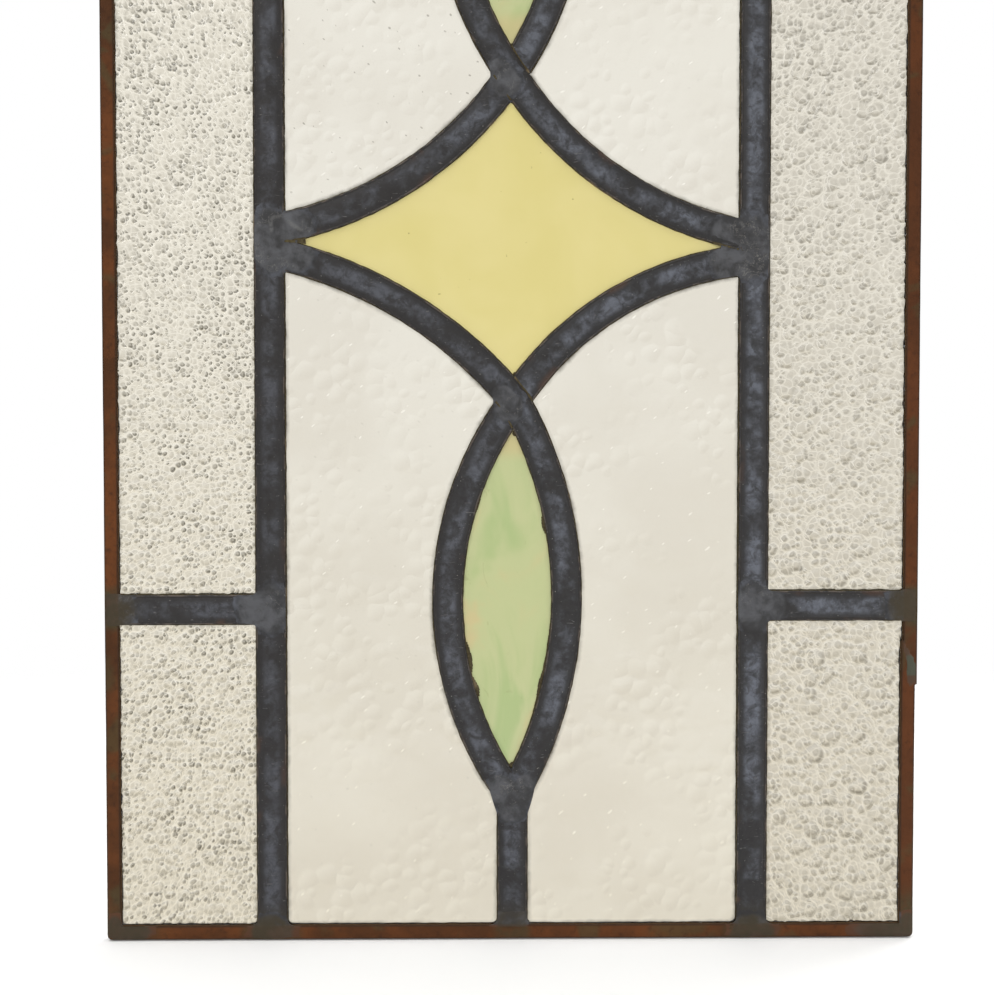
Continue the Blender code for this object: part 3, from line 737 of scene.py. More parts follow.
# %% Tree for lengths of came, channel and cement
def sweep_tree():
    inputs = {
        "Section": "Object",
        "Spacing": "Float",
        "Wave Size": "Float",
        "Wave Depth": "Float",
        "Dent Size": "Float",
        "Dent Depth": "Float",
        "Seed": "Float",
        "Finish": "Material",
    }
    tree, given = new_tree("swept_length", inputs)
    path = node(tree, "GeometryNodeMeshToCurve", {"Mesh": given["Geometry"]}).outputs[0]
    wires = {"Curve": path, "Length": given["Spacing"]}
    path = node(tree, "GeometryNodeResampleCurve", wires, mode="LENGTH")
    tangent = node(tree, "GeometryNodeInputTangent").outputs[0]
    sideways = vector_maths(tree, "CROSS_PRODUCT", tangent, (0.0, 1.0, 0.0))
    wires = {"Curve": path.outputs[0], "Normal": sideways}
    path = node(tree, "GeometryNodeSetCurveNormal", wires, mode="FREE")
    section = node(tree, "GeometryNodeObjectInfo", {"Object": given["Section"]}).outputs["Geometry"]
    section = node(tree, "GeometryNodeMeshToCurve", {"Mesh": section}).outputs[0]
    wires = {"Curve": path.outputs[0], "Profile Curve": section, "Fill Caps": True}
    bar = node(tree, "GeometryNodeCurveToMesh", wires).outputs[0]

    place = node(tree, "GeometryNodeInputPosition").outputs[0]
    shift = node(tree, "ShaderNodeCombineXYZ", {"Y": given["Seed"]}).outputs[0]
    moved = vector_maths(tree, "ADD", place, shift)
    flat = vector_maths(tree, "MULTIPLY", moved, (1.0, 0.0, 1.0))
    flat = vector_maths(tree, "ADD", flat, shift)
    wave = noise_of(tree, flat, maths(tree, "DIVIDE", 1.0, given["Wave Size"]), 2, 0.5).outputs["Color"]
    wave = vector_maths(tree, "SUBTRACT", wave, (0.5, 0.5, 0.5))
    wave = vector_maths(tree, "MULTIPLY", wave, (1.0, 0.25, 1.0))
    wave = scaled(tree, wave, given["Wave Depth"])
    bar = node(tree, "GeometryNodeSetPosition", {"Geometry": bar, "Offset": wave}).outputs[0]

    dent = noise_of(tree, moved, maths(tree, "DIVIDE", 1.0, given["Dent Size"]), 2, 0.55).outputs["Fac"]
    dent = times(tree, maths(tree, "SUBTRACT", dent, 0.5), given["Dent Depth"])
    outward = node(tree, "GeometryNodeInputNormal").outputs[0]
    bar = node(tree, "GeometryNodeSetPosition", {"Geometry": bar, "Offset": scaled(tree, outward, dent)})
    close_tree(tree, bar.outputs[0], given["Finish"])
    return tree


swept_length = sweep_tree()
print("Tree:", swept_length.name, len(swept_length.nodes), "nodes")


# %% Sections and paths as meshes
def section_object(name, points):
    """A closed outline (side, depth) in millimetres, with its place across the face stored."""
    mesh = bpy.data.meshes.new(name)
    count = len(points)
    widest = max(abs(side) for side, _ in points)
    edges = [(index, (index + 1) % count) for index in range(count)]
    mesh.from_pydata([(side * MM, depth * MM, 0) for side, depth in points], edges, [])
    across = mesh.attributes.new("across", "FLOAT", "POINT")
    across.data.foreach_set("value", [side / widest for side, _ in points])
    return link_object(name, mesh)


def path_mesh(points, depth=0.0, closed=False):
    mesh = bpy.data.meshes.new("path")
    count = len(points)
    edges = [(index, (index + 1) % count) for index in range(count if closed else count - 1)]
    mesh.from_pydata([(x * MM, depth * MM, z * MM) for x, z in points], edges, [])
    return mesh


def both_ways(front):
    """A section's front half, turned half way round to make its back half too."""
    return front + [(-side, -depth) for side, depth in front]


LEAF_HALF = [
    (5.75, 2.12),
    (5.95, 2.28),
    (LEAF_EDGE, 2.52),
    (5.84, 2.80),
    (5.60, 2.92),
    (5.32, 2.84),
    (5.05, 2.74),
    (4.68, 2.84),
    (4.10, 3.00),
    (3.45, 3.12),
    (2.50, 3.25),
    (1.30, 3.33),
]
came_front = [
    (-0.8, 2.12),
    *[(-side, depth) for side, depth in LEAF_HALF],
    (0.0, 3.36),
    *LEAF_HALF[::-1],
    (0.8, 2.12),
]
came_section = section_object("came_section", both_ways(came_front))
print("Came section:", len(came_section.data.vertices), "points")


# %% [markdown]
# Cutting lead to length
#
# A glazier cuts cames with a lead knife, square at a butt joint and on a slant where strips meet.
# Bisecting a mesh with a plane does the same. Where one curved strip butts against another, the
# cut follows the other strip's edge, so a ribbon-shaped block is subtracted with a Boolean.


# %% Helpers for cutting
def saw_off(item, point, direction):
    """Cuts at the plane through the point (x, z), and drops what lies beyond it."""
    body = bmesh.new()
    body.from_mesh(item.data)
    normal = Vector((direction[0], 0.0, direction[1])).normalized()
    everything = body.verts[:] + body.edges[:] + body.faces[:]
    place = (point[0] * MM, 0.0, point[1] * MM)
    cut = bmesh.ops.bisect_plane(body, geom=everything, plane_co=place, plane_no=normal, clear_outer=True)
    rim = [edge for edge in cut["geom_cut"] if isinstance(edge, bmesh.types.BMEdge)]
    bmesh.ops.holes_fill(body, edges=rim)
    body.to_mesh(item.data)
    body.free()


def block_through(name, outline, depth=20.0):
    """A block with the given outline (x, z), from front to back through the whole panel."""
    body = bmesh.new()
    loop = [body.verts.new((x * MM, -depth / 2 * MM, z * MM)) for x, z in outline]
    face = body.faces.new(loop)
    grown_geometry = bmesh.ops.extrude_face_region(body, geom=[face])["geom"]
    corners = [item for item in grown_geometry if isinstance(item, bmesh.types.BMVert)]
    bmesh.ops.translate(body, verts=corners, vec=(0.0, depth * MM, 0.0))
    bmesh.ops.recalc_face_normals(body, faces=body.faces)
    mesh = bpy.data.meshes.new(name)
    body.to_mesh(mesh)
    body.free()
    return link_object(name, mesh)


def cut_with(item, tool, operation="DIFFERENCE"):
    modifier = item.modifiers.new("Cut", "BOOLEAN")
    modifier.operation = operation
    modifier.solver = "MANIFOLD"
    modifier.object = tool
    graph = bpy.context.evaluated_depsgraph_get()
    shape = bpy.data.meshes.new_from_object(item.evaluated_get(graph), depsgraph=graph)
    item.modifiers.remove(modifier)
    old = item.data
    item.data = shape
    bpy.data.meshes.remove(old)
    shape.name = item.name
    drop_object(tool)


def side_normals(points):
    """The left-hand normal at each point of a line."""
    ahead = np.gradient(points, axis=0)
    ahead /= np.hypot(ahead[:, 0], ahead[:, 1])[:, None]
    return np.stack([-ahead[:, 1], ahead[:, 0]], axis=1)


def offset_line(points, distance):
    return points + side_normals(points) * distance


def lengthened(points, before=0.0, after=0.0):
    first = points[0] - points[1]
    last = points[-1] - points[-2]
    start = points[0] + first / np.hypot(*first) * before
    end = points[-1] + last / np.hypot(*last) * after
    return np.vstack([start[None] if before else points[:0], points, end[None] if after else points[:0]])


def eased(points, passes=6):
    """The line with its inner points averaged with their neighbours, which rounds off a kink."""
    points = points.copy()
    for _ in range(passes):
        points[1:-1] = (points[:-2] + 2 * points[1:-1] + points[2:]) / 4
    return points


# %% [markdown]
# Straight cames
#
# The two posts run the panel's whole height, four short bars reach from them to the edge, and a
# short stem stands at each end of the curved pattern. Each is one sweep along its line.

# %% Make the straight cames
CAME_WEAR = {
    "Spacing": 1.7 * MM,
    "Wave Size": 18 * MM,
    "Wave Depth": 0.42 * MM,
    "Dent Size": 6.5 * MM,
    "Dent Depth": 0.30 * MM,
}


def came_along(name, points, seed):
    wear = dict(CAME_WEAR, Seed=seed)
    return grown(name, path_mesh(points), swept_length, Section=came_section, Finish=old_lead, **wear)


for number, (name, points) in enumerate(straights.items()):
    settle(came_along(f"lead_{name}", points, 0.1 + 0.037 * number), "lead", f"came_{name}")
print("Straight cames:", len(straights))

# %% [markdown]
# Curved cames
#
# At each crossing one strip runs through unbroken and the other is cut in two and butted against
# it, which is how an interlaced pattern is made in lead. The unbroken strip goes from its post,
# through the crossing, round one side of the eye and down to the stem.


# %% Make the curved cames
OVERRUN = 14.0
SHORT_OVERRUN = 2.0


def through_strand(level):
    """The line of the strip that runs unbroken through a crossing."""
    eye_side = UNBROKEN_EYE[level]
    diamond = arcs[f"diamond_{level}_{OTHER_SIDE[eye_side]}"]
    return eased(np.vstack([diamond, arcs[f"eye_{level}_{eye_side}"][1:]]), 10)


def land_on_post(strip, level, side):
    sign = SIDES[side]
    saw_off(strip, (sign * (POST_X - LEAF_EDGE - GAP), 0.0), (sign, 0.0))
    inward = -LEVELS[level]
    saw_off(strip, (0.0, MEETS[side] - inward * GAP / 2), (0.0, inward))


for number, level in enumerate(LEVELS):
    outward = LEVELS[level]
    eye_side = UNBROKEN_EYE[level]
    post_side = OTHER_SIDE[eye_side]
    tip = TIPS[level]
    through = through_strand(level)
    sweep = came_along(f"lead_sweep_{level}", lengthened(through, OVERRUN, OVERRUN), 0.7 + 0.11 * number)
    land_on_post(sweep, level, post_side)
    saw_off(sweep, tip, (0.0, outward))
    waist = (tip[1] + CROSSINGS[level][1]) / 2
    edge = SIDES[eye_side] * GAP / 2
    beyond = -SIDES[eye_side] * POST_X
    past = tip[1] + outward * 12
    box = [(edge, waist), (beyond, waist), (beyond, past), (edge, past)]
    cut_with(sweep, block_through("tip_cut", box))
    settle(sweep, "lead", f"came_sweep_{level}")

    first_third = np.arange(len(through)) < len(through) // 3
    waist_index = np.argmin(np.abs(through[:, 1] - waist) + 1e3 * first_third)
    ribbon = lengthened(through[:waist_index], OVERRUN)
    reach = LEAF_EDGE + GAP
    cope = np.vstack([offset_line(ribbon, reach), offset_line(ribbon, -reach)[::-1]])

    from_post = lengthened(arcs[f"diamond_{level}_{eye_side}"], OVERRUN, SHORT_OVERRUN)
    strip = came_along(f"lead_diamond_{level}_{eye_side}", from_post, 1.1 + 0.13 * number)
    land_on_post(strip, level, eye_side)
    cut_with(strip, block_through("cope_cut", cope))
    settle(strip, "lead", f"came_diamond_{level}_{eye_side}")

    to_stem = lengthened(arcs[f"eye_{level}_{post_side}"], SHORT_OVERRUN, OVERRUN)
    strip = came_along(f"lead_eye_{level}_{post_side}", to_stem, 1.6 + 0.17 * number)
    saw_off(strip, tip, (0.0, outward))
    sign = SIDES[post_side]
    saw_off(strip, (sign * GAP / 2, 0.0), (-sign, 0.0))
    cut_with(strip, block_through("cope_cut", cope))
    settle(strip, "lead", f"came_eye_{level}_{post_side}")
print("Lead triangles:", sum(count for name, count in pieces_made.items() if name.startswith("lead_")))

# %% [markdown]
# The edge channel
#
# The channel is a U in section, folded from thin sheet with eased corners, mitred at the panel's
# corners, which are filed round. Low on the right a length has been replaced: it sits in a little
# further and meets the old channel on a long slant. The same sweep tree makes it, with less wave,
# because sheet metal is stiffer than lead.

# %% Make the edge channel
CHANNEL_FRONT = [
    (1.0, 2.1),
    (5.55, 2.1),
    (5.60, 2.3),
    (5.60, 2.75),
    (5.45, 2.95),
    (5.1, 3.0),
    (3.6, 3.0),
    (2.0, 3.0),
    (0.7, 3.0),
    (0.25, 2.85),
    (0.0, 2.5),
]
CHANNEL_BACK = [(side, -depth) for side, depth in CHANNEL_FRONT[::-1]]
channel_outline = [*CHANNEL_FRONT, (0.0, 0.8), (0.0, -0.8), *CHANNEL_BACK]
channel_section = section_object("channel_section", channel_outline)
values = [min(1.0, abs(side - 2.8) / 2.8) for side, _ in channel_outline]
channel_section.data.attributes["across"].data.foreach_set("value", values)
CHANNEL_WEAR = {
    "Spacing": 2.0 * MM,
    "Wave Size": 40 * MM,
    "Wave Depth": 0.35 * MM,
    "Dent Size": 7 * MM,
    "Dent Depth": 0.12 * MM,
}
SPLICE_X = HALF_WIDTH - SPLICE_INSET
channel_runs = {
    "bottom": (-HALF_WIDTH, 0, SPLICE_X, 0),
    "top": (HALF_WIDTH, HEIGHT, -HALF_WIDTH, HEIGHT),
    "left": (-HALF_WIDTH, HEIGHT, -HALF_WIDTH, 0),
    "right": (HALF_WIDTH, 0, HALF_WIDTH, HEIGHT),
    "right_splice": (SPLICE_X, 0, SPLICE_X, SPLICE_INNER + BORDER_FACE),
}
channels = {}
for number, (name, run) in enumerate(channel_runs.items()):
    wear = dict(CHANNEL_WEAR, Seed=2.0 + 0.21 * number)
    path = path_mesh(straight(*run))
    channels[name] = grown(
        f"channel_{name}", path, swept_length, Section=channel_section, Finish=browned_channel, **wear
    )

RISING = np.array((-1.0, 1.0)) / math.sqrt(2)
FALLING = np.array((1.0, 1.0)) / math.sqrt(2)
mitres = (
    ("bottom", (-HALF_WIDTH, 0), RISING),
    ("left", (-HALF_WIDTH, 0), -RISING),
    ("bottom", (SPLICE_X, 0), FALLING),
    ("right_splice", (SPLICE_X, 0), -FALLING),
    ("left", (-HALF_WIDTH, HEIGHT), FALLING),
    ("top", (-HALF_WIDTH, HEIGHT), -FALLING),
    ("top", (HALF_WIDTH, HEIGHT), -RISING),
    ("right", (HALF_WIDTH, HEIGHT), RISING),
)
for name, corner, beyond in mitres:
    saw_off(channels[name], np.array(corner) - beyond * GAP / 2, beyond)
CORNER_RADIUS = 2.2
for left_right in (-1, 1):
    for end in (0, 1):
        outer = HALF_WIDTH - (SPLICE_INSET if left_right > 0 and not end else 0)
        low_high = 2 * end - 1
        heart = np.array((left_right * (outer - CORNER_RADIUS), end * HEIGHT - low_high * CORNER_RADIUS))
        upright = "left" if left_right < 0 else ("right" if end else "right_splice")
        for turn in (15, 45, 75):
            angle = math.radians(turn)
            outward = np.array((left_right * math.cos(angle), low_high * math.sin(angle)))
            for name in (upright, "top" if end else "bottom"):
                saw_off(channels[name], heart + outward * CORNER_RADIUS, outward)
slant = np.array((BORDER_FACE, SPLICE_OUTER - SPLICE_INNER))
slant /= np.hypot(*slant)
above = np.array((-slant[1], slant[0]))
joint = np.array((HALF_WIDTH, SPLICE_OUTER))
saw_off(channels["right"], joint + above * GAP / 2, -above)
saw_off(channels["right_splice"], joint - above * GAP / 2, above)
for name, channel in channels.items():
    settle(channel, "edge_channel", f"border_{name}")
print("Channel lengths:", list(channels))

# %% [markdown]
# Rolled and hammered glass
#
# The tree makes a block with a fine grid on its front, presses the hollows of the pattern in, and
# keeps only what lies inside the CAD pane, so that the outline and the flat back are the CAD's own.


# %% Tree for relief glass
def relief_tree():
    inputs = {
        "Spacing": "Float",
        "Pit Size": "Float",
        "Pit Depth": "Float",
        "Dish Size": "Float",
        "Dish Depth": "Float",
        "Stray": "Float",
        "Ripple Size": "Float",
        "Ripple Depth": "Float",
        "Seed": "Float",
        "Finish": "Material",
    }
    tree, given = new_tree("relief_pane", inputs)
    bounds = node(tree, "GeometryNodeBoundBox", {"Geometry": given["Geometry"]}).outputs
    size = vector_maths(tree, "SUBTRACT", bounds["Max"], bounds["Min"])
    centre = scaled(tree, vector_maths(tree, "ADD", bounds["Max"], bounds["Min"]), 0.5)
    widths = node(tree, "ShaderNodeSeparateXYZ", {0: size}).outputs
    count_x = maths(tree, "ADD", maths(tree, "DIVIDE", widths["X"], given["Spacing"]), 2.0)
    count_z = maths(tree, "ADD", maths(tree, "DIVIDE", widths["Z"], given["Spacing"]), 2.0)
    block_size = vector_maths(tree, "ADD", size, (1.0 * MM, 0.0, 1.0 * MM))
    block_size = vector_maths(tree, "MULTIPLY", block_size, (1.0, 0.0, 1.0))
    block_size = vector_maths(tree, "ADD", block_size, (0.0, 6.6 * MM, 0.0))
    wires = {"Size": block_size, "Vertices X": count_x, "Vertices Y": 2, "Vertices Z": count_z}
    block = node(tree, "GeometryNodeMeshCube", wires).outputs["Mesh"]
    centre = vector_maths(tree, "MULTIPLY", centre, (1.0, 0.0, 1.0))
    centre = vector_maths(tree, "ADD", centre, (0.0, 1.7 * MM, 0.0))
    block = node(tree, "GeometryNodeTransform", {"Geometry": block, "Translation": centre}).outputs[0]

    place = node(tree, "GeometryNodeInputPosition").outputs[0]
    wires = {0: node(tree, "ShaderNodeSeparateXYZ", {0: place}).outputs["Y"], 1: 0.0}
    front = node(tree, "FunctionNodeCompare", wires, data_type="FLOAT", operation="LESS_THAN").outputs[0]
    flat = in_plane(tree, place, given["Seed"])
    depth = 0.0
    for label, radii in (("Pit", PIT_RADII), ("Dish", DISH_RADII)):
        share, chance, _, veins = hollows(tree, flat, given[f"{label} Size"], given["Stray"], radii)
        there = remap(tree, chance, 0.05, 0.80, 0.15, 1.0)
        hollow = times(tree, remap(tree, share, 1.05, 0.35), there)
        hollow = maths(tree, "ADD", hollow, remap(tree, veins, 0.02, 0.25, 0.0, 0.25))
        depth = maths(tree, "MAXIMUM", depth, times(tree, hollow, given[f"{label} Depth"]))
    ripple = noise_of(tree, flat, maths(tree, "DIVIDE", 1.0, given["Ripple Size"]), 2).outputs["Fac"]
    ripple = times(tree, ripple, given["Ripple Depth"])
    push = node(tree, "ShaderNodeCombineXYZ", {"Y": maths(tree, "ADD", depth, ripple)}).outputs[0]
    block = node(
        tree, "GeometryNodeSetPosition", {"Geometry": block, "Selection": front, "Offset": push}
    ).outputs[0]
    smooth = node(tree, "GeometryNodeSetShadeSmooth", {"Geometry": block}).outputs[0]
    keep = node(tree, "GeometryNodeMeshBoolean", operation="INTERSECT", solver="MANIFOLD")
    tree.links.new(smooth, keep.inputs["Mesh 2"])
    tree.links.new(given["Geometry"], keep.inputs["Mesh 2"])
    close_tree(tree, keep.outputs["Mesh"], given["Finish"])
    return tree


relief_pane = relief_tree()
print("Tree:", relief_pane.name, len(relief_pane.nodes), "nodes")


# %% [markdown]
# Cutting the panes
#
# The CAD panes are flat plates. A merged copy of each, with its front moved forward, is the
# outline that the relief block is cut to.


# %% Helpers for panes
def merged_copy(node_name, front=None):
    """A copy of a CAD node's mesh with its doubled points merged. Front moves its front face."""
    body = bmesh.new()
    body.from_mesh(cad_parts[node_name].data)
    bmesh.ops.remove_doubles(body, verts=body.verts, dist=1e-6)
    if front is not None:
        for vertex in body.verts:
            if vertex.co.y < 0:
                vertex.co.y = front * MM
    bmesh.ops.recalc_face_normals(body, faces=body.faces)
    mesh = bpy.data.meshes.new(node_name)
    body.to_mesh(mesh)
    body.free()
    return mesh


PURE_NUMBERS = ("Stray", "Seed")


def relief_glass(node_name, kind, finish):
    values = {key: value if key in PURE_NUMBERS else value * MM for key, value in GLASS_KINDS[kind].items()}
    outline = merged_copy(node_name, front=-2.0)
    name = node_name.replace("glass_", "pane_")
    return grown(name, outline, relief_pane, Finish=finish, **values)


# %% Make the clear panes
for side in SIDES:
    for level in ("lower", "middle", "upper"):
        name = f"glass_side_{side}_{level}"
        settle(relief_glass(name, side, side_glass[side]), "textured_glass", name)
for level in LEVELS:
    for side in SIDES:
        name = f"glass_field_{level}_{side}"
        settle(relief_glass(name, "field", field_glass), "clear_glass", name)
print("Clear panes:", {name: count for name, count in pieces_made.items() if name.startswith("pane_")})

# %% [markdown]
# Opal panes
#
# The yellow diamond and the two green eyes are flat machine-rolled opal glass with no pattern, so
# the CAD plates are right as they are. They stay, and only get their finish.

# %% Finish the opal panes
OPALS = {"glass_diamond": yellow_opal, "glass_eye_lower": green_opal, "glass_eye_upper": green_opal}
for name, finish in OPALS.items():
    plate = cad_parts[name]
    for slot in plate.material_slots:
        slot.material = finish
    print("Finished", name, "with", finish.name)

# %% [markdown]
# Where the metal is
#
# Solder and cement are laid on what is already there, so both need to know how high the metal
# stands at any place on the panel. For a came that depends only on the distance to its line. Two
# neighbours are joined with a soft maximum, which rounds the inside corner between them, as a
# fillet of solder does.


# %% Heights of the metal, in millimetres
DOME_REACH = [0.0, 1.3, 2.5, 3.45, 4.25, 4.95, 5.45, 5.82, LEAF_EDGE, 6.55, 8.2]
DOME_HEIGHT = [3.36, 3.33, 3.25, 3.12, 2.95, 2.82, 2.80, 2.74, 2.60, 2.45, 1.7]
CHANNEL_HEIGHT = 3.0


def distance_to_line(points, line):
    starts, runs = line[:-1], np.diff(line, axis=0)
    away = points[:, None] - starts[None]
    share = np.clip((away * runs).sum(2) / (runs**2).sum(1), 0, 1)
    return np.hypot(*np.moveaxis(away - share[..., None] * runs, 2, 0)).min(1)


def soft_max(one, other, reach):
    overlap = np.maximum(reach - np.abs(one - other), 0) / reach
    return np.maximum(one, other) + overlap**2 * reach / 4


def smooth_step(value, low, high):
    share = np.clip((value - low) / (high - low), 0, 1)
    return share * share * (3 - 2 * share)


def from_outer_edge(points):
    """How far a place is inside the panel's outer edge, which steps in at the spliced channel."""
    right = np.where(points[:, 1] < SPLICE_OUTER, HALF_WIDTH - SPLICE_INSET, HALF_WIDTH)
    across = np.minimum(points[:, 0] + HALF_WIDTH, right - points[:, 0])
    upright = np.minimum(points[:, 1], HEIGHT - points[:, 1])
    rounded = CORNER_RADIUS - np.hypot(CORNER_RADIUS - across, CORNER_RADIUS - upright)
    in_corner = (across < CORNER_RADIUS) & (upright < CORNER_RADIUS)
    return np.where(in_corner, rounded, np.minimum(across, upright))


def metal_at(points, leave_out=(), fillet=2.2):
    """(How far inside the metal's outline, height of the metal) at each place (x, z)."""
    middle, spread = points.mean(0), np.ptp(points, axis=0).max()
    inside = BORDER_FACE - from_outer_edge(points)
    height = np.where(inside > 0, CHANNEL_HEIGHT, CHANNEL_HEIGHT + inside)
    for name, line in lead_lines.items():
        if name in leave_out or np.hypot(*(line - middle).T).min() > spread + 20:
            continue
        away = distance_to_line(points, line)
        inside = soft_max(inside, LEAF_EDGE - away, fillet)
        height = soft_max(height, np.interp(away, DOME_REACH, DOME_HEIGHT), 0.4)
    return inside, height


def rough(points, size, seed):
    """Smooth noise from about -1 to 1 at each place, with lumps of the given size."""
    return np.array([noise.noise(Vector((x / size, z / size, seed))) for x, z in points])


# %% Helper for a lump with a drawn outline
def lump_mesh(low, high, outline, top, bottom, step, seed):
    """A closed lump on each face of the panel. The outline is a function of place that is positive
    inside it, and top and bottom are heights from the panel's middle plane."""
    body = bmesh.new()
    fade_layer = body.verts.layers.float.new("fade")
    for face_sign in (-1, 1):
        face_seed = seed + 3.7 * face_sign
        xs, zs = np.arange(low[0], high[0], step), np.arange(low[1], high[1], step)
        grid = np.stack(np.meshgrid(xs, zs, indexing="ij"), -1)
        value = outline(grid.reshape(-1, 2), face_seed).reshape(grid.shape[:2])
        near = value > -0.45 * step
        cells = near[:-1, :-1] & near[1:, :-1] & near[:-1, 1:] & near[1:, 1:]
        numbers = {}
        quads = []
        for i, j in zip(*np.nonzero(cells)):
            corners = [(i, j), (i + 1, j), (i + 1, j + 1), (i, j + 1)]
            quads.append([numbers.setdefault(corner, len(numbers)) for corner in corners])
        places = np.array([grid[corner] for corner in numbers])
        used = {}
        for quad in quads:
            for index in range(4):
                edge = (quad[index], quad[(index + 1) % 4])
                used[edge] = used.get(edge, 0) + 1
        rim = [edge for edge in used if (edge[1], edge[0]) not in used]
        rim_points = sorted({index for edge in rim for index in edge})
        for _ in range(2):
            here = places[rim_points]
            value = outline(here, face_seed)
            slope = np.stack(
                [
                    (outline(here + (0.1, 0), face_seed) - value) / 0.1,
                    (outline(here + (0, 0.1), face_seed) - value) / 0.1,
                ],
                axis=1,
            )
            steep = np.maximum((slope**2).sum(1), 0.2)
            move = -value[:, None] * slope / steep[:, None]
            places[rim_points] += np.clip(move, -0.7 * step, 0.7 * step)
        upper, marks = top(places, face_seed)
        lower = bottom(places)
        upper = np.maximum(upper, lower + 0.03)
        tops = [body.verts.new((x * MM, face_sign * y * MM, z * MM)) for (x, z), y in zip(places, upper)]
        for vertex, mark in zip(tops, marks):
            vertex[fade_layer] = mark
        bottoms = [body.verts.new((x * MM, face_sign * y * MM, z * MM)) for (x, z), y in zip(places, lower)]
        for quad in quads:
            body.faces.new([tops[index] for index in quad])
            body.faces.new([bottoms[index] for index in quad[::-1]])
        for first, second in rim:
            body.faces.new([tops[second], tops[first], bottoms[first], bottoms[second]])
    bmesh.ops.recalc_face_normals(body, faces=body.faces)
    mesh = bpy.data.meshes.new("lump")
    body.to_mesh(mesh)
    body.free()
    mesh.shade_smooth()
    return mesh


# %% [markdown]
# Dirt on the glass beside the metal
#
# Cloths never reach the last millimetre or two of glass beside a strip, so a brownish film of
# cement dust and dirt stays there. How far each point of a clear pane is from the metal is stored
# on its mesh, and the glass finishes fade the film out with it.


# %% Store how far the clear glass is from the metal
all_points = np.vstack(list(lead_lines.values()))
nearest_lead = kdtree.KDTree(len(all_points))
for number, (x, z) in enumerate(all_points):
    nearest_lead.insert((x, 0.0, z), number)
nearest_lead.balance()
panes = [name for name in pieces_made if name.startswith("pane_")]
for name in panes:
    mesh = bpy.data.objects[name].data
    places = np.zeros(len(mesh.vertices) * 3)
    mesh.vertices.foreach_get("co", places)
    flat_places = places.reshape(-1, 3)[:, (0, 2)] / MM
    from_lead = np.array([nearest_lead.find((x, 0.0, z))[2] for x, z in flat_places]) - LEAF_EDGE
    beside = np.minimum(from_lead, from_outer_edge(flat_places) - BORDER_FACE)
    mesh.attributes.new("beside", "FLOAT", "POINT").data.foreach_set("value", beside)
print("Panes with a film of dirt beside the metal:", len(panes))

# %% [markdown]
# Solder
#
# The joints are wiped with solder on both faces. Each joint is a few flattened ovals laid over the
# ends of the strips: the solder stands a fifth of a millimetre above the lead, has a slightly
# raised rim where it froze, and dives under the lead's surface outside its oval, so the edge that
# shows is a natural one.


# %% Helper for a soldered joint
SOLDER_STEP = 0.85
SOLDER_STAND = 0.18
SOLDER_LIMIT = 3.585
SOLDER_FOOT = 2.14


def oval_share(points, ovals, seed):
    """0 in the middle of the nearest oval and 1 on its outline, with a wavering edge."""
    nearest = None
    for x, z, half_long, half_wide, angle in ovals:
        turn = math.radians(angle)
        away = points - (x, z)
        along = away @ (math.cos(turn), math.sin(turn))
        side = away @ (-math.sin(turn), math.cos(turn))
        share = np.sqrt((along / half_long) ** 2 + (side / half_wide) ** 2)
        nearest = share if nearest is None else -soft_max(-nearest, -share, 0.35)
    return nearest * (1 + 0.16 * rough(points, 6.0, seed) + 0.08 * rough(points, 2.2, seed + 5))


def solder_joint(name, *ovals, seed=0.0, band=None, fillet=2.2, ridges=()):
    """Solder on both faces. A band (height, half width) keeps it to one level strip, and each of the
    ridges is (line, half width, height)."""

    def outline(points, face_seed):
        inside, _ = metal_at(points, fillet=fillet)
        share = oval_share(points, ovals, face_seed)
        reach = min(min(oval[2:4]) for oval in ovals)
        inside = np.minimum(np.minimum(inside - 0.05, (1.14 - share) * reach), from_outer_edge(points))
        if band:
            strip = band[1] - np.abs(points[:, 1] - band[0]) + 0.35 * rough(points, 3.0, face_seed + 2)
            inside = np.minimum(inside, strip)
        return inside

    def top(points, face_seed):
        _, height = metal_at(points)
        share = oval_share(points, ovals, face_seed)
        stand = SOLDER_STAND * (1 - smooth_step(share, 0.35, 1.0))
        stand += 0.05 * np.exp(-(((share - 0.88) / 0.07) ** 2)) - 0.4 * smooth_step(share, 0.88, 1.14)
        stand += 0.09 * rough(points, 2.6, face_seed + 1) * (share < 1)
        marks = smooth_step(share, 0.45, 1.0)
        for line, half_width, rise in ridges:
            near = np.exp(-((distance_to_line(points, np.array(line)) / half_width) ** 2))
            stand += rise * near
            # Each raised ridge pulls the mark below zero, which the solder finish paints as a light grey
            # highlight.
            marks = marks * (1 - near) - (near if rise > 0 else 0)
        level = soft_max(height, 3.12 - 0.5 * share, 0.3)
        rounded = 0.5 * np.clip(1 - from_outer_edge(points) / 0.9, 0, 1) ** 2
        return np.minimum(level + stand, SOLDER_LIMIT) - rounded, marks

    def bottom(points):
        return np.full(len(points), SOLDER_FOOT)

    reach = max(max(oval[2:4]) for oval in ovals) * 1.3 + 2
    spots = np.array([oval[:2] for oval in ovals])
    low, high = spots.min(0) - reach, spots.max(0) + reach
    mesh = lump_mesh(low, high, outline, top, bottom, SOLDER_STEP, seed)
    mesh.materials.append(solder)
    return settle(link_object(f"solder_{name}", mesh), "solder")


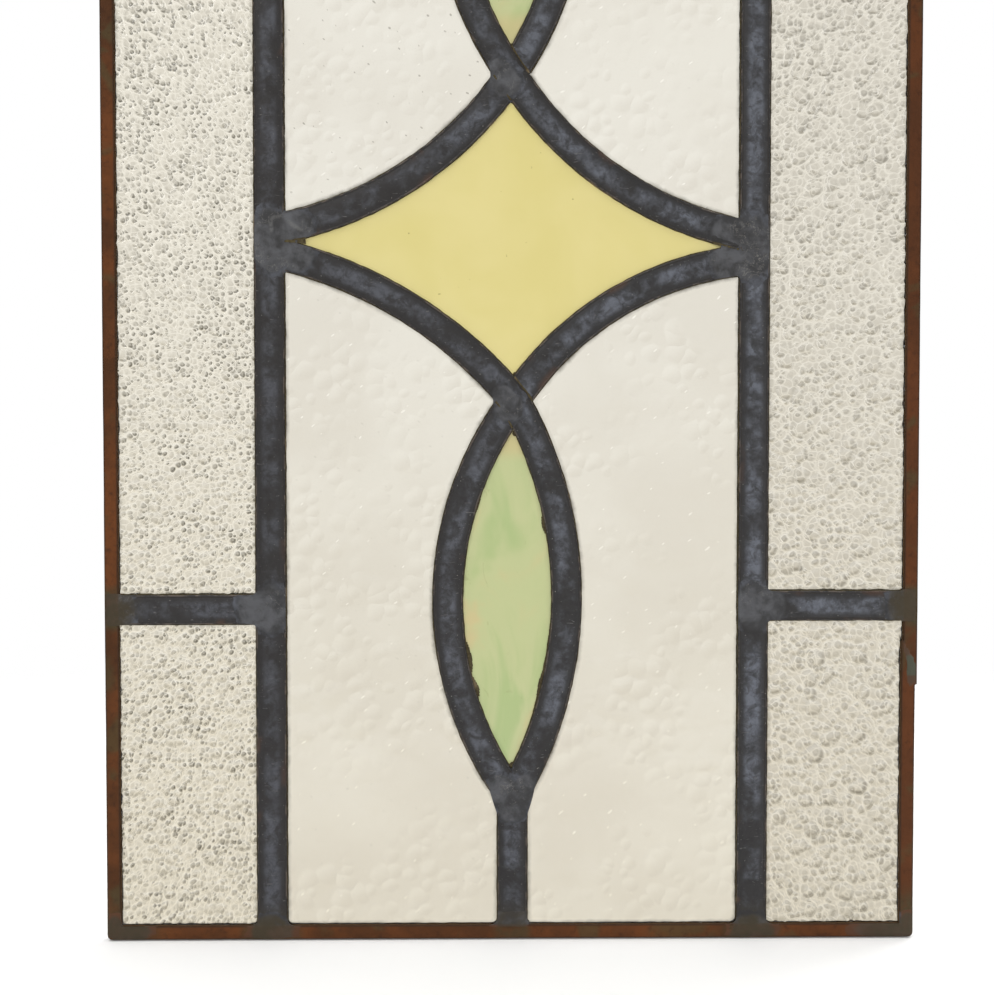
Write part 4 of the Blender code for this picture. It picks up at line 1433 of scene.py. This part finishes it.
# %% Solder every joint
CORNER_SOLDER = {"left": 14.0, "right": 23.0}
LANDING_RIDGES = {
    "left": (([(-96.9, 288.2), (-97.2, 293.0), (-92.5, 293.9), (-89.0, 290.7), (-84.5, 287.9)], 1.1, 0.22),),
    "right": (
        ([(81.0, 284.5), (87.0, 283.2), (93.0, 280.8)], 0.9, -0.40),
        ([(92.0, 291.5), (94.0, 288.8), (91.5, 286.8)], 1.0, 0.2),
    ),
}
seed = 11.0
for side, sign in SIDES.items():
    post = sign * POST_X
    edge = sign * (HALF_WIDTH - 5.5)
    rise = BAR_RISE[side]
    meet = MEETS[side]
    for level, height in (("lower", rise), ("upper", HEIGHT - rise)):
        seed += 0.43
        near_post = ((post, height, 12.5, 10, 90), (post + sign * 7, height, 9, 10, 0))
        solder_joint(f"bar_{side}_{level}_post", *near_post, seed=seed)
        at_edge = (edge, height, 9, 14, 0)
        solder_joint(f"bar_{side}_{level}_edge", at_edge, seed=seed + 0.2, band=(height, 6.5))
        foot = 2.6 if level == "lower" else HEIGHT - 2.6
        solder_joint(f"post_{side}_{level}", (post, foot, 12, 9.5, 0), seed=seed + 0.1, fillet=3.5)
        corner = (sign * (HALF_WIDTH - 3), 3 if level == "lower" else HEIGHT - 3)
        length = CORNER_SOLDER[side]
        along = (corner[0] - sign * length / 2, corner[1], length / 2 + 3, 6, 0)
        solder_joint(f"corner_{side}_{level}", along, (*corner, 9, 6, 90), seed=seed + 0.3)
    inward = post - sign * 11
    landing = (
        (post, meet, 17, 10, 90),
        (inward, meet + 6, 9, 9, -12 * sign),
        (inward, meet - 6, 9, 9, 12 * sign),
    )
    solder_joint(f"landing_{side}", *landing, seed=seed + 0.6, fillet=1.8, ridges=LANDING_RIDGES[side])
for level, outward in LEVELS.items():
    x, z = CROSSINGS[level]
    seed += 0.37
    ovals = ((x - 2.5, z - 3, 8, 8, 0), (x - 5, z + 2, 6, 6, 60))
    solder_joint(f"crossing_{level}", *ovals, seed=seed, fillet=3.4)
    x, z = TIPS[level]
    inner = z - outward * 3
    head = ((x, z + outward * 3, 8, 9.5, 0), (x - 5, inner, 7, 8, 0), (x + 5, inner, 7, 8, 0))
    solder_joint(f"head_{level}", *head, seed=seed + 0.5, fillet=5.0)
    foot = 8.2 if level == "lower" else HEIGHT - 8.2
    solder_joint(f"stem_{level}", (0, foot, 11, 6.0, 0), seed=seed + 0.8, band=(foot, 3.2), fillet=3.5)
seam = (HALF_WIDTH - BORDER_FACE / 2, (SPLICE_OUTER + SPLICE_INNER) / 2, 10.5, 1.5, 107.2)
solder_joint("splice", seam, (HALF_WIDTH - 2.4, 109.8, 6.6, 2.4, 90), seed=seed + 0.9)
print("Soldered joints:", sum(name.startswith("solder_") for name in pieces_made))

# %% [markdown]
# Cement
#
# Cement is brushed under the leaves to stop draughts, and what squeezes out dries as a thin dark
# line along every edge. It is a small ragged rod that follows both edges of each came and the
# inner edge of the channel, left out where another strip covers it. The sweep tree makes it too.


# %% Lines that the cement follows
BEAD_OUT = -0.05
BEAD_HEIGHT = 1.86
SEAM_HEIGHT = 3.05


def open_runs(points, covered):
    """The stretches of a line that nothing covers, as lists of points."""
    runs, current = [], []
    for point, hidden in zip(points, covered):
        if hidden:
            if len(current) > 2:
                runs.append(current)
            current = []
        else:
            current.append(point)
    if len(current) > 2:
        runs.append(current)
    return runs


SMEARS = (
    ("eye_lower_left", 1, 109.0, 122.0, 1.3),
    ("eye_lower_left", 1, 98.5, 107.5, 1.2),
    ("eye_lower_left", 1, 174.0, 181.0, 0.4),
    ("eye_lower_right", -1, 92.0, 128.0, 0.35),
    ("eye_lower_right", -1, 98.0, 112.0, 1.0),
    ("eye_lower_right", -1, 165.0, 174.0, 0.8),
    ("eye_upper_left", 1, 420.0, 436.0, 0.45),
)
bead_runs = []
seam_runs = []
for name, line in lead_lines.items():
    for way in (-1, 1):
        edge_line = offset_line(line, way * (LEAF_EDGE + BEAD_OUT))
        inside, _ = metal_at(edge_line, leave_out=(name,), fillet=0.01)
        bead_runs += open_runs(edge_line, inside > 0.25)
for name, way, low, high, out in SMEARS:
    for share in (0.25, 0.50, 0.75, 1.0):
        smear = offset_line(lead_lines[name], way * (LEAF_EDGE + share * out))
        trim = (high - low) * 0.32 * share**2
        bead_runs += open_runs(smear, (smear[:, 1] < low + trim) | (smear[:, 1] > high - trim))
face = BORDER_FACE - 0.12
ring = [
    straight(-HALF_WIDTH + face, face, HALF_WIDTH - face - SPLICE_INSET, face),
    straight(HALF_WIDTH - face - SPLICE_INSET, face, HALF_WIDTH - face - SPLICE_INSET, SPLICE_INNER),
    straight(HALF_WIDTH - face, SPLICE_INNER, HALF_WIDTH - face, HEIGHT - face),
    straight(HALF_WIDTH - face, HEIGHT - face, -HALF_WIDTH + face, HEIGHT - face),
    straight(-HALF_WIDTH + face, HEIGHT - face, -HALF_WIDTH + face, face),
]
for line in ring:
    covered = np.full(len(line), -1.0)
    for lead_line in lead_lines.values():
        covered = np.maximum(covered, LEAF_EDGE - distance_to_line(line, lead_line))
    bead_runs += open_runs(line, covered > 0.25)
for level in LEVELS:
    names = f"diamond_{level}_{OTHER_SIDE[UNBROKEN_EYE[level]]}", f"eye_{level}_{UNBROKEN_EYE[level]}"
    through = through_strand(level)
    for way in (-1, 1):
        seam = offset_line(through, way * (LEAF_EDGE + GAP / 2))
        inside, _ = metal_at(seam, leave_out=names, fillet=0.01)
        near = np.hypot(*(seam - CROSSINGS[level]).T) < 13
        seam_runs += open_runs(seam, ~near | (inside < -0.2))
print("Cement runs:", len(bead_runs), "and over the butt joints:", len(seam_runs))


# %% Make the cement beads
def rods_mesh(runs, depth):
    mesh = bpy.data.meshes.new("rods")
    places, edges = [], []
    for run in runs:
        start = len(places)
        places += [(x * MM, depth * MM, z * MM) for x, z in run]
        edges += [(start + index, start + index + 1) for index in range(len(run) - 1)]
    mesh.from_pydata(places, edges, [])
    return mesh


rod_points = [(0.42 * math.cos(turn), 0.30 * math.sin(turn)) for turn in np.linspace(0, 2 * math.pi, 7)[:-1]]
rod_section = section_object("rod_section", rod_points)
CEMENT_WEAR = {
    "Spacing": 1.5 * MM,
    "Wave Size": 5.0 * MM,
    "Wave Depth": 0.55 * MM,
    "Dent Size": 2.4 * MM,
    "Dent Depth": 0.45 * MM,
}
for face_name, sign, seed in (("front", -1, 5.3), ("back", 1, 6.1)):
    for kind, runs, depth in (("bead", bead_runs, BEAD_HEIGHT), ("seam", seam_runs, SEAM_HEIGHT)):
        wear = dict(CEMENT_WEAR, Seed=seed)
        rods = rods_mesh(runs, sign * depth)
        name = f"cement_{kind}_{face_name}"
        settle(grown(name, rods, swept_length, Section=rod_section, Finish=dry_cement, **wear), "cement")


# %% Fill the sharp corners with cement
def cement_fill(name, x, z, radius, seed):
    """A smear of cement on the glass in the sharp corner between two cames."""

    def outline(points, face_seed):
        inside, _ = metal_at(points, fillet=0.01)
        away = np.hypot(*(points - (x, z)).T)
        reach = radius * (1 + 0.35 * rough(points, 1.6, face_seed)) - away
        return np.minimum(0.7 - inside, reach)

    def top(points, face_seed):
        away = np.hypot(*(points - (x, z)).T) / radius
        height = 2.02 - 0.36 * smooth_step(away, 0.2, 1.05) + 0.05 * rough(points, 0.8, face_seed)
        return height, np.zeros(len(points))

    def bottom(points):
        return np.full(len(points), 1.58)

    low, high = np.array((x, z)) - radius * 1.5, np.array((x, z)) + radius * 1.5
    mesh = lump_mesh(low, high, outline, top, bottom, 0.4, seed)
    mesh.materials.append(dry_cement)
    return settle(link_object(f"cement_{name}", mesh), "cement")


def sharp_corner(start, direction):
    """The first place beyond a joint, along the direction, that no metal covers."""
    steps = np.arange(0, 40, 0.1)[:, None] * np.array(direction) + np.array(start)
    inside, _ = metal_at(steps, fillet=0.01)
    return steps[np.argmax(inside < 0)]


for level, outward in LEVELS.items():
    seed += 0.21
    corner = sharp_corner(CROSSINGS[level], (0, -outward))
    cement_fill(f"diamond_{level}", *corner, 0.9, seed)
    corner = sharp_corner(CROSSINGS[level], (0, outward))
    cement_fill(f"eye_{level}_inner", *corner, 1.2, seed + 0.1)
    corner = sharp_corner(TIPS[level], (0, -outward))
    cement_fill(f"eye_{level}_outer", *corner, 1.3, seed + 0.15)


def cement_wedge(name, start, end, half_width, seed):
    """A wedge of cement lying on the metal, widest at its start, where two cames run together."""
    start, end = np.array(start), np.array(end)
    length = np.hypot(*(end - start))
    ahead = (end - start) / length

    def outline(points, face_seed):
        away = points - start
        along = away @ ahead
        width = half_width * (1 - along / length) + 0.15 + 0.3 * rough(points, 1.5, face_seed)
        return np.minimum(width - np.abs(away @ (-ahead[1], ahead[0])), np.minimum(along, length - along))

    def top(points, face_seed):
        _, height = metal_at(points)
        return np.minimum(height + 0.36 + 0.06 * rough(points, 0.9, face_seed), 3.58), np.zeros(len(points))

    def bottom(points):
        return metal_at(points)[1] - 0.3

    low, high = np.minimum(start, end) - 3, np.maximum(start, end) + 3
    mesh = lump_mesh(low, high, outline, top, bottom, 0.42, seed)
    mesh.materials.append(dry_cement)
    return settle(link_object(f"cement_{name}", mesh), "cement")


WEDGES = {"left": ((-83.2, 284.0), (-92.4, 283.6), 1.25), "right": ((80.4, 283.4), (93.0, 280.2), 0.35)}
for side, wedge in WEDGES.items():
    cement_wedge(f"wedge_{side}", *wedge, seed + 0.3)
print("Cement pieces:", [name for name in pieces_made if name.startswith("cement_")])

# %% [markdown]
# The stage
#
# The panel stands on a plain white floor, which fades out well away from it, in soft light. The sky
# of the scene is plain white where the camera looks straight at it. For light that arrives through
# or off the glass it is brightest straight ahead and behind, like a lit studio wall, and greyer to
# the sides, so that each hollow of the relief glass bends some of the grey into view. Light that
# comes through glass keeps at least three quarters of full strength, so that clear glass stays pale
# from the side.

# %% Sky
sky = bpy.data.worlds.new("studio")
bpy.context.scene.world = sky
sky.use_nodes = True
tree = sky.node_tree
tree.nodes.clear()
direction = node(tree, "ShaderNodeTexCoord").outputs["Generated"]
facing = maths(tree, "ABSOLUTE", vector_maths(tree, "DOT_PRODUCT", direction, (0.0, 0.9994, 0.035)))
WALL_FULL, WALL_END = math.radians(17), math.radians(36)
SIDE_STRENGTH = 0.18
THROUGH_GLASS = 0.75
wall = remap(tree, facing, math.cos(WALL_END), math.cos(WALL_FULL), SIDE_STRENGTH, 1.0)
ray = node(tree, "ShaderNodeLightPath").outputs
wall = maths(tree, "MAXIMUM", wall, times(tree, ray["Is Transmission Ray"], THROUGH_GLASS))
tall = node(tree, "ShaderNodeSeparateXYZ", {0: direction}).outputs["Z"]
wall_colour = blend(tree, remap(tree, tall, -0.35, 0.1), linear(240, 234, 218), linear(252, 250, 243))
seen = node(tree, "ShaderNodeBackground", {"Color": (1.0, 1.0, 1.0, 1.0), "Strength": 1.0}).outputs[0]
lit = node(tree, "ShaderNodeBackground", {"Color": wall_colour, "Strength": wall}).outputs[0]
mixed = node(tree, "ShaderNodeMixShader", {0: ray["Is Camera Ray"], 1: lit, 2: seen}).outputs[0]
node(tree, "ShaderNodeOutputWorld", {0: mixed})


# %% Lights
def soft_light(name, place, aim, size, watts):
    lamp = bpy.data.lights.new(name, "AREA")
    lamp.shape = "SQUARE"
    lamp.size = size
    lamp.energy = watts
    item = bpy.data.objects.new(name, lamp)
    bpy.context.scene.collection.objects.link(item)
    item.location = place
    item.rotation_mode = "QUATERNION"
    item.rotation_quaternion = (Vector(aim) - Vector(place)).to_track_quat("-Z", "Y")
    item.visible_camera = False
    return item


centre = (0.0, 0.0, 0.28)
lamps = (
    soft_light("key", (-0.9, -1.3, 1.2), centre, 1.2, 13.5),
    soft_light("fill", (1.2, -1.2, 0.5), centre, 1.0, 6.5),
    soft_light("back", (0.9, 1.3, 1.2), centre, 1.2, 15),
)
for lamp in lamps:
    lamp.visible_transmission = False
soft_light("overhead", (0.0, 0.0, 1.7), (0.0, 0.0, 0.0), 1.6, 26)

# %% Floor
FLOOR_HALF = 1.6
FLOOR_LEVEL = -0.0005
GLOW = {"Emission_Color": (1, 1, 1, 1), "Emission_Strength": 0.1}
floor_mesh = bpy.data.meshes.new("floor")
floor_corners = [(-1, -1), (1, -1), (1, 1), (-1, 1)]
floor_places = [(x * FLOOR_HALF, y * FLOOR_HALF, FLOOR_LEVEL) for x, y in floor_corners]
floor_mesh.from_pydata(floor_places, [], [(0, 1, 2, 3)])
floor = link_object("floor", floor_mesh)
floor_paint, tree, shader = new_finish("pale_floor", roughness=0.7, **GLOW)
grain = noise_of(tree, object_place(tree), 6, 3).outputs["Fac"]
wire(tree, shader, Base_Color=blend(tree, grain, linear(246, 246, 246), linear(250, 250, 250)))
from_middle = vector_maths(tree, "MULTIPLY", object_place(tree), (1.0, 1.0, 0.0))
from_middle = node(tree, "ShaderNodeVectorMath", {0: from_middle}, operation="LENGTH").outputs["Value"]
clear = node(tree, "ShaderNodeBsdfTransparent").outputs[0]
kept = remap(tree, from_middle, 0.95, 0.45)
faded = node(tree, "ShaderNodeMixShader", {0: kept, 1: clear, 2: shader.outputs[0]}).outputs[0]
tree.links.new(faded, tree.nodes["Material Output"].inputs["Surface"])
floor_mesh.materials.append(floor_paint)
floor.visible_transmission = False

# %% [markdown]
# The camera
#
# The camera stands a little to the left of the panel's middle and looks slightly down, square on.
# Its place was worked out from the panel's own straight lines, so its edges fall where they do in
# the photograph.

# %% Camera
CAMERA_PLACE = (-0.0233, -0.9520, 0.2316)
CAMERA_DOWN = 3.08
CAMERA_RIGHT = 1.03
lens = bpy.data.cameras.new("camera")
lens.lens = 85
lens.sensor_width = 36
lens.clip_start = 0.01
camera = bpy.data.objects.new("camera", lens)
bpy.context.scene.collection.objects.link(camera)
camera.location = CAMERA_PLACE
camera.rotation_euler = (math.radians(90 - CAMERA_DOWN), 0.0, math.radians(-CAMERA_RIGHT))
bpy.context.scene.camera = camera
bpy.context.scene.view_settings.view_transform = "Standard"

# %% Clear the workbench
for tool in (came_section, channel_section, rod_section):
    drop_object(tool)
print("Triangles in all:", sum(pieces_made.values()))
